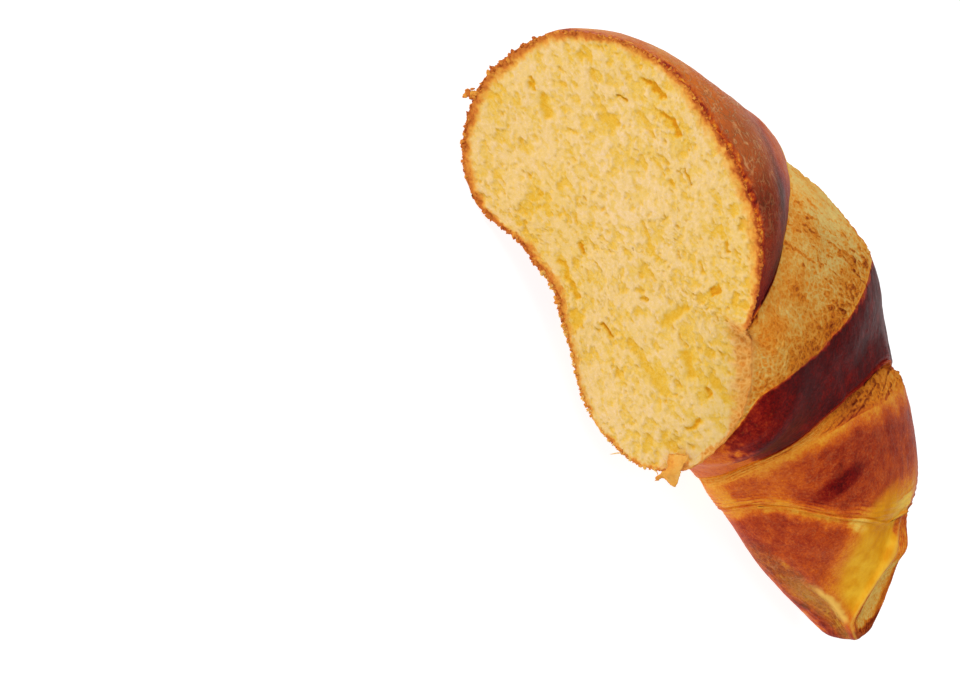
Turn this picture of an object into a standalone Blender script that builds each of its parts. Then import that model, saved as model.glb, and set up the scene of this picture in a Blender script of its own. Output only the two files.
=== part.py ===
"""A cut half of a brioche crescent roll, lying on its flat underside.

The cut face stands upright at the front and looks along -Y. Behind it the roll
runs back and bends round to +X, where it ends in the folded tip. One closed
solid in metres, with +Z up. The origin is under the middle of the half, level
with the flat of its underside. The sizes below are read from the middle of the
cut face, and the finished solid is then moved to that origin.
"""

import bmesh
import bpy
import numpy as np

# Driving sizes of the leg, in metres along its centre line
LEG_LENGTH = 0.1420
TIP_LENGTH = 0.0040
TIP_SLANT = 0.0085
TIP_POINT_ANGLE = 30.0
STATIONS = (0.0, 0.2, 0.4, 0.6, 0.8, 1.0)
HALF_WIDTH = (0.0408, 0.0336, 0.0354, 0.0320, 0.0258, 0.0076)
HEIGHT = (0.0557, 0.0544, 0.0514, 0.0458, 0.0362, 0.0105)
BEND_STATIONS = (0.0, 0.33, 0.66, 1.0)
BEND_RATE = (2.60, 2.14, 1.32, 0.60)
TIP_LIFT = 0.0070
TIP_LIFT_POWER = 7
CENTRE_X = 0.0010
UNDERSIDE_SINK = 0.0006
TOP_ROUNDNESS = 2.2
BASE_ROUNDNESS = 3.2

# The outline of the cut face, as X and Z, from its inner end over the top and back
CUT_CENTRE_Z = 0.0295
CUT_OUTLINE = (
    (0.0470, 0.0190),
    (0.0450, 0.0280),
    (0.0395, 0.0360),
    (0.0320, 0.0410),
    (0.0240, 0.0450),
    (0.0220, 0.0475),
    (0.0158, 0.0524),
    (0.0010, 0.0579),
    (-0.0170, 0.0570),
    (-0.0330, 0.0520),
    (-0.0450, 0.0380),
    (-0.0475, 0.0300),
    (-0.0445, 0.0150),
    (-0.0340, 0.0033),
    (-0.0210, 0.0000),
    (-0.0090, 0.0063),
    (0.0020, 0.0088),
    (0.0140, 0.0070),
    (0.0290, 0.0050),
    (0.0370, 0.0070),
    (0.0441, 0.0120),
)
CUT_BLEND = 0.022

# Where each layer ends, as degrees round the section and metres along the leg.
# 0 degrees is the inner side of the bend, 90 the top and 180 the outer side.
FIRST_EDGE = ((0, 0.0004), (33, 0.0006), (41, 0.0030), (52, 0.0086), (62, 0.0142), (74, 0.0206),
              (90, 0.0262), (110, 0.0317), (180, 0.0400), (250, 0.0330), (310, 0.0060))
FIRST_RIDGE = ((0, 0.0040), (8, 0.0065), (22, 0.0130), (45, 0.0500), (78, 0.0603), (102, 0.0638),
               (180, 0.0720), (250, 0.0620), (310, 0.0240), (348, 0.0032))
SECOND_EDGE = ((5, 0.0748), (28, 0.0744), (58, 0.0795), (90, 0.0840), (130, 0.0925), (180, 0.0975),
               (260, 0.0890), (342, 0.0790))
SECOND_RIDGE = ((10, 0.0798), (35, 0.0830), (70, 0.0900), (110, 0.0950), (180, 0.1050), (260, 0.0970),
                (345, 0.0830))
THIRD_EDGE = ((0, 0.0982), (25, 0.1098), (60, 0.1184), (110, 0.1200), (180, 0.1220), (260, 0.1100),
              (342, 0.0940))
FIRST_DROP = 0.0050
SECOND_DROP = 0.0028
THIRD_DROP = 0.0013
SECOND_RUN = 1.6
INNER_SHARE = 0.45
INNER_SHARE_ANGLES = (0.0, 50.0)
OUTER_SHARE = 0.5
THIRD_RUN = 0.014
NOTCH_ANGLES = (22.0, 62.0)
SEAM_ANGLE = -50.0
RELIEF_FADE = (95.0, 150.0)
DROP_RUN = 0.0009
LIP_RUN = 0.0016
LIP_ROUND = 0.0006
BAND_BULGE = 0.0034
BAND_BULGE_SPAN = (50.0, 95.0, 124.0, 150.0)
RIDGE_RISE = 0.0026
RIDGE_FADE = (105.0, 145.0)
STRIP_SAG = 0.0020
STRIP_SAG_SPAN = (95.0, 120.0, 150.0, 190.0)
DROP_RISE = (2.0, 1.3, 1.3)
RIDGE_RUN = 0.015
RIDGE_POWER = 1.5
SECTION_RADIUS = 0.030
RIDGE_ANGLES = (22.0, 60.0)
INNER_FILL = 0.0120
INNER_FILL_SPAN = (-0.002, 0.033, 0.040, 0.085)
INNER_FILL_ANGLES = (-40.0, 2.0, 8.0, 50.0)

# The cut edge where it rounds over into the torn layer, and the folds of the tip
ROUND_OVER = 0.0055
ROUND_OVER_REACH = 0.024
ROUND_OVER_ROOM = 0.8
ROUND_OVER_ANGLES = (-25.0, 5.0, 26.0, 36.0)
ROUND_OVER_POWER = 5
FOLD_HEIGHT = 0.0012
FOLD_START = 0.112
FOLD_RUN = 0.014
FOLD_LEFT = ((0.112, -12.0), (0.121, -2.0), (0.128, 3.0), (0.131, 8.0), (0.138, 15.0), (0.142, 17.0))
FOLD_RIGHT = ((0.112, 98.0), (0.121, 87.0), (0.127, 71.0), (0.131, 54.0), (0.135, 37.0), (0.139, 20.0))
FOLD_SECTION = 0.014
FOLD_WIDTH = 0.0018
RIGHT_FOLD_WIDTH = 0.0026
FOLD_SLOPE = 0.0030
TONGUE_DEPTH = 0.8
FLAP_DROP = 0.0010
FLAP_SPAN = (0.0005, 0.0022, 0.0050, 0.0140)

# The open crumb of the cut face
HOLE_COUNT = 60
HOLE_RADIUS = (0.0014, 0.0030)
HOLE_DEPTH = 0.0010
HOLE_SEED = 21
HOLE_FREE_MIDDLE = (0.003, 0.009)

# The mesh: points round the section, rows in each stretch and rings on the cut face
AROUND = 90
BAND_ROWS = 6
TEAR_ROWS = 7
STRIP_ROWS = 5
LAYER_ROWS = 2
LEG_ROWS = 6
TIP_ROWS = 18
CUT_RINGS = 13
TIP_RINGS = ((0.45, 0.82), (0.8, 0.5))
LEAST_ROW = 0.00022


def ease(value, start, end):
    """0 before start, 1 after end and an S-shaped rise between them."""
    share = np.clip((value - start) / (end - start), 0.0, 1.0)
    return share * share * (3.0 - 2.0 * share)


def curve(places, values, at):
    """A smooth curve through the values that never overshoots them."""
    places, values = np.asarray(places, float), np.asarray(values, float)
    gaps = np.diff(places)
    slopes = np.diff(values) / gaps
    product = slopes[:-1] * slopes[1:]
    total = slopes[:-1] + slopes[1:]
    inner = np.where(product > 0.0, 2.0 * product / np.where(total == 0.0, 1.0, total), 0.0)
    leans = np.concatenate([slopes[:1], inner, slopes[-1:]])
    at = np.clip(at, places[0], places[-1])
    i = np.clip(np.searchsorted(places, at, side="right") - 1, 0, len(gaps) - 1)
    t = (at - places[i]) / gaps[i]
    start = (1.0 + 2.0 * t) * (1.0 - t) ** 2 * values[i] + t * (1.0 - t) ** 2 * gaps[i] * leans[i]
    end = t * t * (3.0 - 2.0 * t) * values[i + 1] + t * t * (t - 1.0) * gaps[i] * leans[i + 1]
    return start + end


def round_curve(pairs, degrees):
    """The curve through pairs of degrees and values, closed on itself after 360."""
    pairs = sorted(pairs)
    turns = [(angle + 360.0 * turn, value) for turn in (-1, 0, 1) for angle, value in pairs]
    return curve(*zip(*turns), degrees % 360.0)


def cut_radius(degrees):
    """The distance from the middle of the cut face to its outline."""
    pairs = []
    for x, z in CUT_OUTLINE:
        angle = np.degrees(np.arctan2(z - CUT_CENTRE_Z, x)) % 360.0
        pairs.append((angle, np.hypot(x, z - CUT_CENTRE_Z)))
    return round_curve(pairs, degrees)


def signed(degrees):
    """Degrees from -180 to 180, with 0 on the inner side of the bend."""
    return (degrees + 180.0) % 360.0 - 180.0


def edge_distances(degrees):
    """How far along the leg the layers' edges and ridges lie."""
    edges = (FIRST_EDGE, FIRST_RIDGE, SECOND_EDGE, SECOND_RIDGE, THIRD_EDGE)
    return [round_curve(edge, degrees) for edge in edges]


def slant(edge, degrees, step=2.0):
    """How many times longer a distance along the leg is than one square to the edge."""
    change = round_curve(edge, degrees + step) - round_curve(edge, degrees - step)
    return np.hypot(1.0, change / (np.radians(2.0 * step) * SECTION_RADIUS))


def centre_line(steps=400):
    """X, Y and heading along the leg, from the cut to the end of the tip."""
    share = (np.arange(steps) + 0.5) / steps
    heading = np.cumsum(curve(BEND_STATIONS, BEND_RATE, share)) / steps
    x = CENTRE_X + np.cumsum(np.sin(heading)) * LEG_LENGTH / steps
    y = np.cumsum(np.cos(heading)) * LEG_LENGTH / steps
    return [np.concatenate([[first], rest]) for first, rest in ((CENTRE_X, x), (0.0, y), (0.0, heading))]


def centre_at(distance):
    """X, Y and heading on the centre line, straight on past its end."""
    x, y, heading = centre_line()
    marks = np.linspace(0.0, LEG_LENGTH, len(x))
    past = np.maximum(distance - LEG_LENGTH, 0.0)
    turn = np.interp(distance, marks, heading)
    at_x = np.interp(distance, marks, x) + past * np.sin(turn)
    at_y = np.interp(distance, marks, y) + past * np.cos(turn)
    return at_x, at_y, turn


def relief(distance, degrees):
    """How far the layers stand above or below the smooth roll."""
    first, ridge, second, second_ridge, third = edge_distances(degrees)
    inner = signed(degrees)
    shown = 1.0 - ease(np.abs(signed(degrees - 90.0)), *RELIEF_FADE)
    second_drop = SECOND_DROP * (INNER_SHARE + (1.0 - INNER_SHARE) * ease(np.abs(inner), *INNER_SHARE_ANGLES))
    start, full, last, end = STRIP_SAG_SPAN
    outer = ease(degrees, start, full) * (1.0 - ease(degrees, last, end))
    second_drop = second_drop * (1.0 - OUTER_SHARE * outer)
    steps = (
        (first, ridge - first, FIRST_DROP * np.where(inner > SEAM_ANGLE, ease(inner, *NOTCH_ANGLES), 1.0)),
        (second, (second_ridge - second) * SECOND_RUN, second_drop),
        (third, THIRD_RUN, THIRD_DROP),
    )
    height = 0.0
    for (edge, run, drop), rise in zip(steps, DROP_RISE):
        past = distance - edge
        left = np.clip(1.0 - past / run, 0.0, 1.0)
        height = height - shown * drop * ease(past, 0.0, DROP_RUN) * left ** rise
        lip = np.where(past < 0.0, ease(past, -LIP_RUN, 0.0), 0.0) * np.minimum(drop / THIRD_DROP, 1.0)
        height = height - shown * LIP_ROUND * lip
    along = np.clip(distance / first, 0.0, 1.0)
    start, full, last, end = BAND_BULGE_SPAN
    bulge = ease(degrees, start, full) * (1.0 - ease(degrees, last, end))
    height = height + BAND_BULGE * 4.0 * along * (1.0 - along) * bulge
    sag = ease(distance, ridge, second) ** 2 * (1.0 - ease(distance - second, 0.0, LIP_RUN))
    height = height - STRIP_SAG * outer * sag
    off_ridge = (distance - ridge) / (RIDGE_RUN * slant(FIRST_RIDGE, degrees))
    crest = np.clip(1.0 - off_ridge ** 2, 0.0, 1.0) ** RIDGE_POWER
    return height + RIDGE_RISE * crest * ease(inner, *RIDGE_ANGLES) * (1.0 - ease(degrees, *RIDGE_FADE))


def inner_fill(distance, degrees):
    """How far the inner corner, between the cut face and the leg, is filled out."""
    inner = signed(degrees)
    start, full, last, end = INNER_FILL_SPAN
    along = ease(distance, start, full) * (1.0 - ease(distance, last, end))
    below, full, last, above = INNER_FILL_ANGLES
    return INNER_FILL * along * ease(inner, below, full) * (1.0 - ease(inner, last, above))


def fold_offsets(distance, degrees):
    """How far past the left and the right fold of the tip a point lies, round the section."""
    inner = signed(degrees)
    lines = (curve(*zip(*line), distance) for line in (FOLD_LEFT, FOLD_RIGHT))
    return [np.radians(inner - line) * FOLD_SECTION for line in lines]


def fold_relief(distance, degrees):
    """The folds of the tip, with the smooth tongue between them and a flap beyond."""
    left, right = fold_offsets(distance, degrees)
    lips = np.exp(-(left / FOLD_WIDTH) ** 2) + np.exp(-(right / RIGHT_FOLD_WIDTH) ** 2)
    between = ease(left, 0.0, FOLD_SLOPE) * ease(-right, 0.0, FOLD_SLOPE)
    start, full, last, end = FLAP_SPAN
    flap = ease(right, start, full) * (1.0 - ease(right, last, end))
    grown = ease(distance, FOLD_START, FOLD_START + FOLD_RUN)
    return grown * (FOLD_HEIGHT * (lips - TONGUE_DEPTH * between) - FLAP_DROP * flap)


def section_radius(distance, degrees):
    """The distance from the centre line to the smooth roll."""
    share = distance / LEG_LENGTH
    width = curve(STATIONS, HALF_WIDTH, share)
    half_height = curve(STATIONS, HEIGHT, share) * 0.5
    across = np.abs(np.cos(np.radians(degrees)))
    up = np.sin(np.radians(degrees))
    power = np.where(up > 0.0, TOP_ROUNDNESS, BASE_ROUNDNESS)
    roll = ((across / width) ** power + (np.abs(up) / half_height) ** power) ** (-1.0 / power)
    blend = ease(distance, 0.0, CUT_BLEND)
    return cut_radius(degrees) * (1.0 - blend) + roll * blend


def round_over(degrees):
    """How far back the cut edge lies where it rounds over into the torn layer."""
    inner = signed(degrees)
    room = ROUND_OVER_ROOM * ROUND_OVER_REACH * (1.0 - cut_radius(degrees) * BEND_RATE[0] / LEG_LENGTH)
    below, full, last, above = ROUND_OVER_ANGLES
    return np.clip(room, 0.0, ROUND_OVER) * ease(inner, below, full) * (1.0 - ease(inner, last, above))


def surface(distance, degrees, shrink=1.0):
    """Points on the leg's skin at distances along it and degrees round it."""
    distance, degrees = np.asarray(distance, float), np.asarray(degrees, float)
    x, y, heading = centre_at(distance)
    share = distance / LEG_LENGTH
    blend = ease(distance, 0.0, CUT_BLEND)
    middle = CUT_CENTRE_Z * (1.0 - blend) + curve(STATIONS, HEIGHT, share) * 0.5 * blend
    middle = middle + TIP_LIFT * np.minimum(share, 1.0) ** TIP_LIFT_POWER - UNDERSIDE_SINK * blend
    radius = section_radius(distance, degrees) + inner_fill(distance, degrees)
    radius = radius + relief(distance, degrees) + fold_relief(distance, degrees)
    out = radius * shrink * np.cos(np.radians(degrees))
    rise = radius * shrink * np.sin(np.radians(degrees))
    back = round_over(degrees) * np.clip(1.0 - distance / ROUND_OVER_REACH, 0.0, 1.0)
    at_x = x + out * np.cos(heading)
    at_y = y - out * np.sin(heading) + back
    return np.stack([at_x, at_y, np.maximum(middle + rise, 0.0)], -1)


def tip_end(degrees):
    """How far along the leg its slanting end lies."""
    return LEG_LENGTH - TIP_SLANT * (1.0 - np.cos(np.radians(degrees - TIP_POINT_ANGLE))) / 2.0


def tip_ring(past, shrink, degrees):
    """Points of the blunt end at a share of its length, drawn in towards its middle."""
    distance = tip_end(degrees) * shrink + (LEG_LENGTH - TIP_SLANT / 2.0) * (1.0 - shrink)
    return surface(distance + TIP_LENGTH * past, degrees, shrink)


def row_distances(degrees):
    """How far along the leg each row of points lies, so that rows follow the layer edges."""
    first, ridge, second, second_ridge, third = edge_distances(degrees)
    stretches = (
        (first - LIP_RUN, BAND_ROWS),
        (first, 1),
        (first + DROP_RUN, 1),
        (ridge, TEAR_ROWS),
        (second - LIP_RUN, STRIP_ROWS),
        (second, 1),
        (second + DROP_RUN, 1),
        (second_ridge, LAYER_ROWS),
        (third - LIP_RUN, LEG_ROWS),
        (third, 1),
        (third + DROP_RUN, 1),
        (tip_end(degrees), TIP_ROWS),
    )
    rows = [np.zeros_like(degrees)]
    for end, count in stretches:
        start = rows[-1]
        end = np.maximum(end, start + LEAST_ROW * count)
        rows += [start + (end - start) * (i + 1) / count for i in range(count)]
    return rows


def crumb_holes():
    """Seeded places, sizes and depths of the larger holes in the crumb."""
    draw = np.random.default_rng(HOLE_SEED)
    degrees = draw.uniform(0.0, 360.0, HOLE_COUNT)
    reach = np.sqrt(draw.uniform(0.0, 0.75, HOLE_COUNT)) * cut_radius(degrees)
    x = reach * np.cos(np.radians(degrees))
    z = CUT_CENTRE_Z + reach * np.sin(np.radians(degrees))
    size = draw.uniform(*HOLE_RADIUS, HOLE_COUNT)
    depth = draw.uniform(0.4, 1.0, HOLE_COUNT) * HOLE_DEPTH
    return x, z, size, depth


def cut_depth(x, z):
    """How deep the crumb's holes sink behind the plane of the cut."""
    hole_x, hole_z, size, depth = crumb_holes()
    away = (x[:, None] - hole_x) ** 2 + (z[:, None] - hole_z) ** 2
    from_middle = np.hypot(x, z - CUT_CENTRE_Z)
    return (depth * np.exp(-away / size ** 2)).sum(1) * ease(from_middle, *HOLE_FREE_MIDDLE)


def cut_ring(share, degrees):
    """Points of the cut face at a share of the way from its middle to its rim."""
    rim = surface(np.zeros_like(degrees), degrees)
    x = rim[:, 0] * share
    z = CUT_CENTRE_Z + (rim[:, 2] - CUT_CENTRE_Z) * share
    return np.stack([x, rim[:, 1] * share ** ROUND_OVER_POWER + cut_depth(x, z), z], -1)


def centre_on_origin(mesh):
    """Moves the mesh so that the middle of its length and depth is at X = Y = 0."""
    points = np.empty(len(mesh.vertices) * 3)
    mesh.vertices.foreach_get("co", points)
    points = points.reshape(-1, 3)
    middle = (points.min(0) + points.max(0)) / 2.0
    points -= (middle[0], middle[1], 0.0)
    mesh.vertices.foreach_set("co", points.ravel())


def build_half():
    """The whole solid as rings of points joined by faces."""
    degrees = np.arange(AROUND) * 360.0 / AROUND
    rings = [cut_ring(k / CUT_RINGS, degrees) for k in range(1, CUT_RINGS)]
    rings += [surface(row, degrees) for row in row_distances(degrees)]
    rings += [tip_ring(past, shrink, degrees) for past, shrink in TIP_RINGS]
    shape = bmesh.new()
    rings = [[shape.verts.new(point) for point in ring] for ring in rings]
    middle = shape.verts.new(cut_ring(0.0, degrees)[0])
    end = shape.verts.new(tip_ring(1.0, 0.0, degrees)[0])
    for i in range(AROUND):
        j = (i + 1) % AROUND
        shape.faces.new((middle, rings[0][j], rings[0][i]))
        shape.faces.new((end, rings[-1][i], rings[-1][j]))
        for near, far in zip(rings, rings[1:]):
            shape.faces.new((near[i], near[j], far[j], far[i]))
    bmesh.ops.recalc_face_normals(shape, faces=shape.faces)
    mesh = bpy.data.meshes.new("brioche_half")
    shape.to_mesh(mesh)
    shape.free()
    centre_on_origin(mesh)
    mesh.shade_smooth()
    half = bpy.data.objects.new("brioche_half", mesh)
    bpy.context.collection.objects.link(half)
    return half


def crust_material():
    """Baked, egg-washed crust."""
    material = bpy.data.materials.new("crust")
    material.use_nodes = True
    shader = material.node_tree.nodes["Principled BSDF"]
    shader.inputs["Base Color"].default_value = (0.42, 0.15, 0.035, 1.0)
    shader.inputs["Roughness"].default_value = 0.4
    shader.inputs["Metallic"].default_value = 0.0
    return material


def main():
    for item in list(bpy.data.objects):
        bpy.data.objects.remove(item)
    half = build_half()
    half.data.materials.append(crust_material())


main()
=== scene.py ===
"""The looks of a cut half of a brioche croissant, modelled over its plain solid.

The half lies on its underside. Its crumb face looks along -Y, and the leg runs back
and bends round to +X. All lengths are metres and all angles are degrees, unless a
name says otherwise.
"""

import bpy
import numpy as np
from mathutils import Matrix, Vector


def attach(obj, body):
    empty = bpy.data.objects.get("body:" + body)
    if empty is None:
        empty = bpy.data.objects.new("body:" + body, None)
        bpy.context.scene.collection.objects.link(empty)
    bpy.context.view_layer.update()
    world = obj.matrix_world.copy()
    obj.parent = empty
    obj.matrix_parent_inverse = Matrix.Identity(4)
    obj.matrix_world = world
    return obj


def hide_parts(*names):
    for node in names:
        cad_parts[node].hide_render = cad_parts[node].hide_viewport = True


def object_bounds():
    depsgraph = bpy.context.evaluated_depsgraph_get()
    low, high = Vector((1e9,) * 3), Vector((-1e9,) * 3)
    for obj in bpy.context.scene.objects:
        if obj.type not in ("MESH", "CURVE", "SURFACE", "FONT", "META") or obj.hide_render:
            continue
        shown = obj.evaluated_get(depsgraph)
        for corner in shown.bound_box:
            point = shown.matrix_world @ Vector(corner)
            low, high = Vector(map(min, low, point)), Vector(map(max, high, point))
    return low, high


bl_info = {
    "name": "Brioche Croissant Half",
    "version": (1, 0, 0),
    "blender": (4, 5, 0),
    "location": "View3D > Sidebar > Brioche",
    "description": "Models the crumb, crust and torn joints of a cut brioche croissant",
    "category": "Object",
}

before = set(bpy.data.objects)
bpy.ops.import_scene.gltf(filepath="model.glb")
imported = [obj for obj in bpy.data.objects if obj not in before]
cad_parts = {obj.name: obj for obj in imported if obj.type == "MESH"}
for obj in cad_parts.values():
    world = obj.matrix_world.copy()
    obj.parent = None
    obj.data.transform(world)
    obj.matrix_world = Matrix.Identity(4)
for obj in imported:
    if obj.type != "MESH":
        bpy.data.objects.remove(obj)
SOLID_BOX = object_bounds()

# The leg, in metres along its centre line, as in the solid
LEG_LENGTH = 0.1420
TIP_LENGTH = 0.0040
TIP_SLANT = 0.0085
TIP_POINT_ANGLE = 30.0
STATIONS = (0.0, 0.2, 0.4, 0.6, 0.8, 1.0)
HALF_WIDTH = (0.0408, 0.0336, 0.0354, 0.0320, 0.0258, 0.0076)
HEIGHT = (0.0557, 0.0544, 0.0514, 0.0458, 0.0362, 0.0105)
BEND_STATIONS = (0.0, 0.33, 0.66, 1.0)
BEND_RATE = (2.60, 2.14, 1.32, 0.60)
TIP_LIFT = 0.0070
TIP_LIFT_POWER = 7
CENTRE_X = 0.0010
UNDERSIDE_SINK = 0.0006
TOP_ROUNDNESS = 2.2
BASE_ROUNDNESS = 3.2

# The outline of the cut face, as X and Z, from its inner end over the top and back
CUT_CENTRE_Z = 0.0295
CUT_OUTLINE = (
    (0.0470, 0.0190),
    (0.0450, 0.0280),
    (0.0395, 0.0360),
    (0.0320, 0.0410),
    (0.0240, 0.0450),
    (0.0220, 0.0475),
    (0.0158, 0.0524),
    (0.0010, 0.0579),
    (-0.0170, 0.0570),
    (-0.0330, 0.0520),
    (-0.0450, 0.0380),
    (-0.0475, 0.0300),
    (-0.0445, 0.0150),
    (-0.0340, 0.0033),
    (-0.0210, 0.0000),
    (-0.0090, 0.0063),
    (0.0020, 0.0088),
    (0.0140, 0.0070),
    (0.0290, 0.0050),
    (0.0370, 0.0070),
    (0.0441, 0.0120),
)
CUT_BLEND = 0.022

# Where each layer ends, as degrees round the section and metres along the leg.
# 0 degrees is the inner side of the bend, 90 the top and 180 the outer side.
FIRST_EDGE = ((0, 0.0004), (33, 0.0006), (41, 0.0030), (52, 0.0086), (62, 0.0142), (74, 0.0206),
              (90, 0.0262), (110, 0.0317), (180, 0.0400), (250, 0.0330), (310, 0.0060))
FIRST_RIDGE = ((0, 0.0040), (8, 0.0065), (22, 0.0130), (45, 0.0500), (78, 0.0603), (102, 0.0638),
               (180, 0.0720), (250, 0.0620), (310, 0.0240), (348, 0.0032))
SECOND_EDGE = ((5, 0.0748), (28, 0.0744), (58, 0.0795), (90, 0.0840), (130, 0.0925), (180, 0.0975),
               (260, 0.0890), (342, 0.0790))
SECOND_RIDGE = ((10, 0.0798), (35, 0.0830), (70, 0.0900), (110, 0.0950), (180, 0.1050), (260, 0.0970),
                (345, 0.0830))
THIRD_EDGE = ((0, 0.0982), (25, 0.1098), (60, 0.1184), (110, 0.1200), (180, 0.1220), (260, 0.1100),
              (342, 0.0940))
FIRST_DROP = 0.0050
SECOND_DROP = 0.0028
THIRD_DROP = 0.0013
SECOND_RUN = 1.6
INNER_SHARE = 0.45
INNER_SHARE_ANGLES = (0.0, 50.0)
OUTER_SHARE = 0.5
THIRD_RUN = 0.014
NOTCH_ANGLES = (22.0, 62.0)
SEAM_ANGLE = -50.0
RELIEF_FADE = (95.0, 150.0)
DROP_RUN = 0.0009
LIP_RUN = 0.0016
LIP_ROUND = 0.0006
BAND_BULGE = 0.0034
BAND_BULGE_SPAN = (50.0, 95.0, 124.0, 150.0)
RIDGE_RISE = 0.0026
RIDGE_FADE = (105.0, 145.0)
STRIP_SAG = 0.0020
STRIP_SAG_SPAN = (95.0, 120.0, 150.0, 190.0)
DROP_RISE = (2.0, 1.3, 1.3)
RIDGE_RUN = 0.015
RIDGE_POWER = 1.5
SECTION_RADIUS = 0.030
RIDGE_ANGLES = (22.0, 60.0)
INNER_FILL = 0.0120
INNER_FILL_SPAN = (-0.002, 0.033, 0.040, 0.085)
INNER_FILL_ANGLES = (-40.0, 2.0, 8.0, 50.0)

# The cut edge where it rounds over into the torn layer, and the folds of the tip
ROUND_OVER = 0.0055
ROUND_OVER_REACH = 0.024
ROUND_OVER_ROOM = 0.8
ROUND_OVER_ANGLES = (-25.0, 5.0, 26.0, 36.0)
ROUND_OVER_POWER = 5
FOLD_HEIGHT = 0.0012
FOLD_START = 0.112
FOLD_RUN = 0.014
FOLD_LEFT = ((0.112, -12.0), (0.121, -2.0), (0.128, 3.0), (0.131, 8.0), (0.138, 15.0), (0.142, 17.0))
FOLD_RIGHT = ((0.112, 98.0), (0.121, 87.0), (0.127, 71.0), (0.131, 54.0), (0.135, 37.0), (0.139, 20.0))
FOLD_SECTION = 0.014
FOLD_WIDTH = 0.0018
RIGHT_FOLD_WIDTH = 0.0026
FOLD_SLOPE = 0.0030
TONGUE_DEPTH = 0.8
FLAP_DROP = 0.0010
FLAP_SPAN = (0.0005, 0.0022, 0.0050, 0.0140)

# The fine mesh. A row of the skin's pieces gives the layer line that a stretch of rows runs to,
# or the end of the leg, the share of the way there, an offset in metres and the number of rows
VISIBLE_ARC = (-25.0, 150.0)
VISIBLE_POINTS = 420
HIDDEN_POINTS = 150
SKIN_PIECES = (
    ("first_crust", ((0, 1.0, -LIP_RUN, 84), (0, 1.0, 0.0, 8))),
    ("first_tear_near", ((0, 1.0, DROP_RUN, 6), (1, 0.5, 0.0, 114))),
    ("first_tear_far", ((1, 1.0, 0.0, 114),)),
    ("dark_crust", ((2, 1.0, -LIP_RUN, 88), (2, 1.0, 0.0, 7))),
    ("second_tear", ((2, 1.0, DROP_RUN, 6), (3, 1.0, 0.0, 50))),
    ("third_crust", ((4, 1.0, -LIP_RUN, 88), (4, 1.0, 0.0, 6))),
    ("tip_crust", ((4, 1.0, DROP_RUN, 6), ("end", 1.0, 0.0, 100))),
)
LEAST_ROW = 0.00001
CAP_ROWS = 20
RIM_REACH = 0.0016
CRUMB_REACH = 0.040
CRUMB_SPACING = 0.00026

# How much farther on the first ridge's colours lie near the notch, where round it and how wide
RIDGE_SHIFT = 0.0084
RIDGE_SHIFT_ANGLE = 28.5
RIDGE_SHIFT_SPREAD = 11.0

# The crumb's pores: their size, a seed, how rare they are, their depth and how golden they are, partly
# painted shade in their hollows
CRUMB_PORES = (
    (0.0032, 43, 0.66, 0.00055, 0.42),
    (0.0018, 45, 0.42, 0.00034, 0.34),
    (0.0010, 47, 0.25, 0.00018, 0.24),
)

# The crumb's largest holes, as X and Z of both ends, their width and their depth as a share
HOLE_DEPTH = 0.0008
# How golden the holes are, partly painted shade of their hollows
HOLE_GOLD = 0.80
CRUMB_HOLES = (
    (-0.0303, 0.0470, -0.0260, 0.0491, 0.0018, 1.0),
    (-0.0220, 0.0482, -0.0173, 0.0491, 0.0018, 1.0),
    (-0.0346, 0.0237, -0.0313, 0.0241, 0.0026, 0.7),
    (-0.0392, 0.0232, -0.0377, 0.0227, 0.0012, 0.8),
    (-0.0291, 0.0400, -0.0281, 0.0416, 0.0008, 1.0),
    (-0.0145, 0.0421, -0.0127, 0.0422, 0.0018, 0.6),
    (-0.0106, 0.0467, -0.0074, 0.0477, 0.0007, 0.7),
    (-0.0037, 0.0334, 0.0043, 0.0336, 0.0014, 0.6),
    (-0.0094, 0.0433, -0.0081, 0.0439, 0.0012, 0.7),
    (-0.0036, 0.0186, -0.0019, 0.0183, 0.0012, 0.9),
    (-0.0022, 0.0129, 0.0066, 0.0133, 0.0016, 0.7),
    (0.0174, 0.0295, 0.0160, 0.0343, 0.0024, 0.7),
    (0.0140, 0.0163, 0.0168, 0.0167, 0.0012, 1.0),
    (0.0259, 0.0309, 0.0293, 0.0301, 0.0028, 0.7),
    (0.0333, 0.0321, 0.0350, 0.0316, 0.0012, 0.9),
    (0.0403, 0.0246, 0.0399, 0.0271, 0.0016, 0.9),
    (0.0150, 0.0421, 0.0144, 0.0436, 0.0014, 0.9),
    (0.0113, 0.0267, 0.0121, 0.0280, 0.0010, 0.8),
    (-0.0012, 0.0505, 0.0002, 0.0506, 0.0016, 0.5),
    (0.0065, 0.0496, 0.0079, 0.0492, 0.0012, 0.7),
    (0.0082, 0.0424, 0.0100, 0.0423, 0.0010, 0.6),
    (-0.0267, 0.0264, -0.0253, 0.0279, 0.0010, 0.6),
)

# Loose crumbs of the rim: from and to which degrees, how many, their sizes and how brown they are
CRUMB_SEED = 5
RIM_CRUMBS = (
    (36.0, 60.0, 36, 0.00012, 0.00036, 0.45, 0.80),
    (60.0, 128.0, 90, 0.00012, 0.00036, 0.45, 0.90),
    (128.0, 182.0, 120, 0.00014, 0.00042, 0.35, 0.75),
    (182.0, 262.0, 300, 0.00018, 0.00062, 0.40, 0.85),
    (262.0, 300.0, 170, 0.00016, 0.00062, 0.10, 0.75),
    (300.0, 345.0, 160, 0.00014, 0.00046, 0.05, 0.60),
)

# The large crumb on the left of the rim, as X, Z and radius of its lumps
LARGE_CRUMB = (
    (-0.0408, 0.0104, 0.0007),
    (-0.0410, 0.0094, 0.0008),
    (-0.0416, 0.0087, 0.0007),
    (-0.0412, 0.0078, 0.0006),
    (-0.0404, 0.0088, 0.0006),
    (-0.0419, 0.0099, 0.0004),
    (-0.0399, 0.0096, 0.0006),
    (-0.0411, 0.0072, 0.0004),
)

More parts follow.
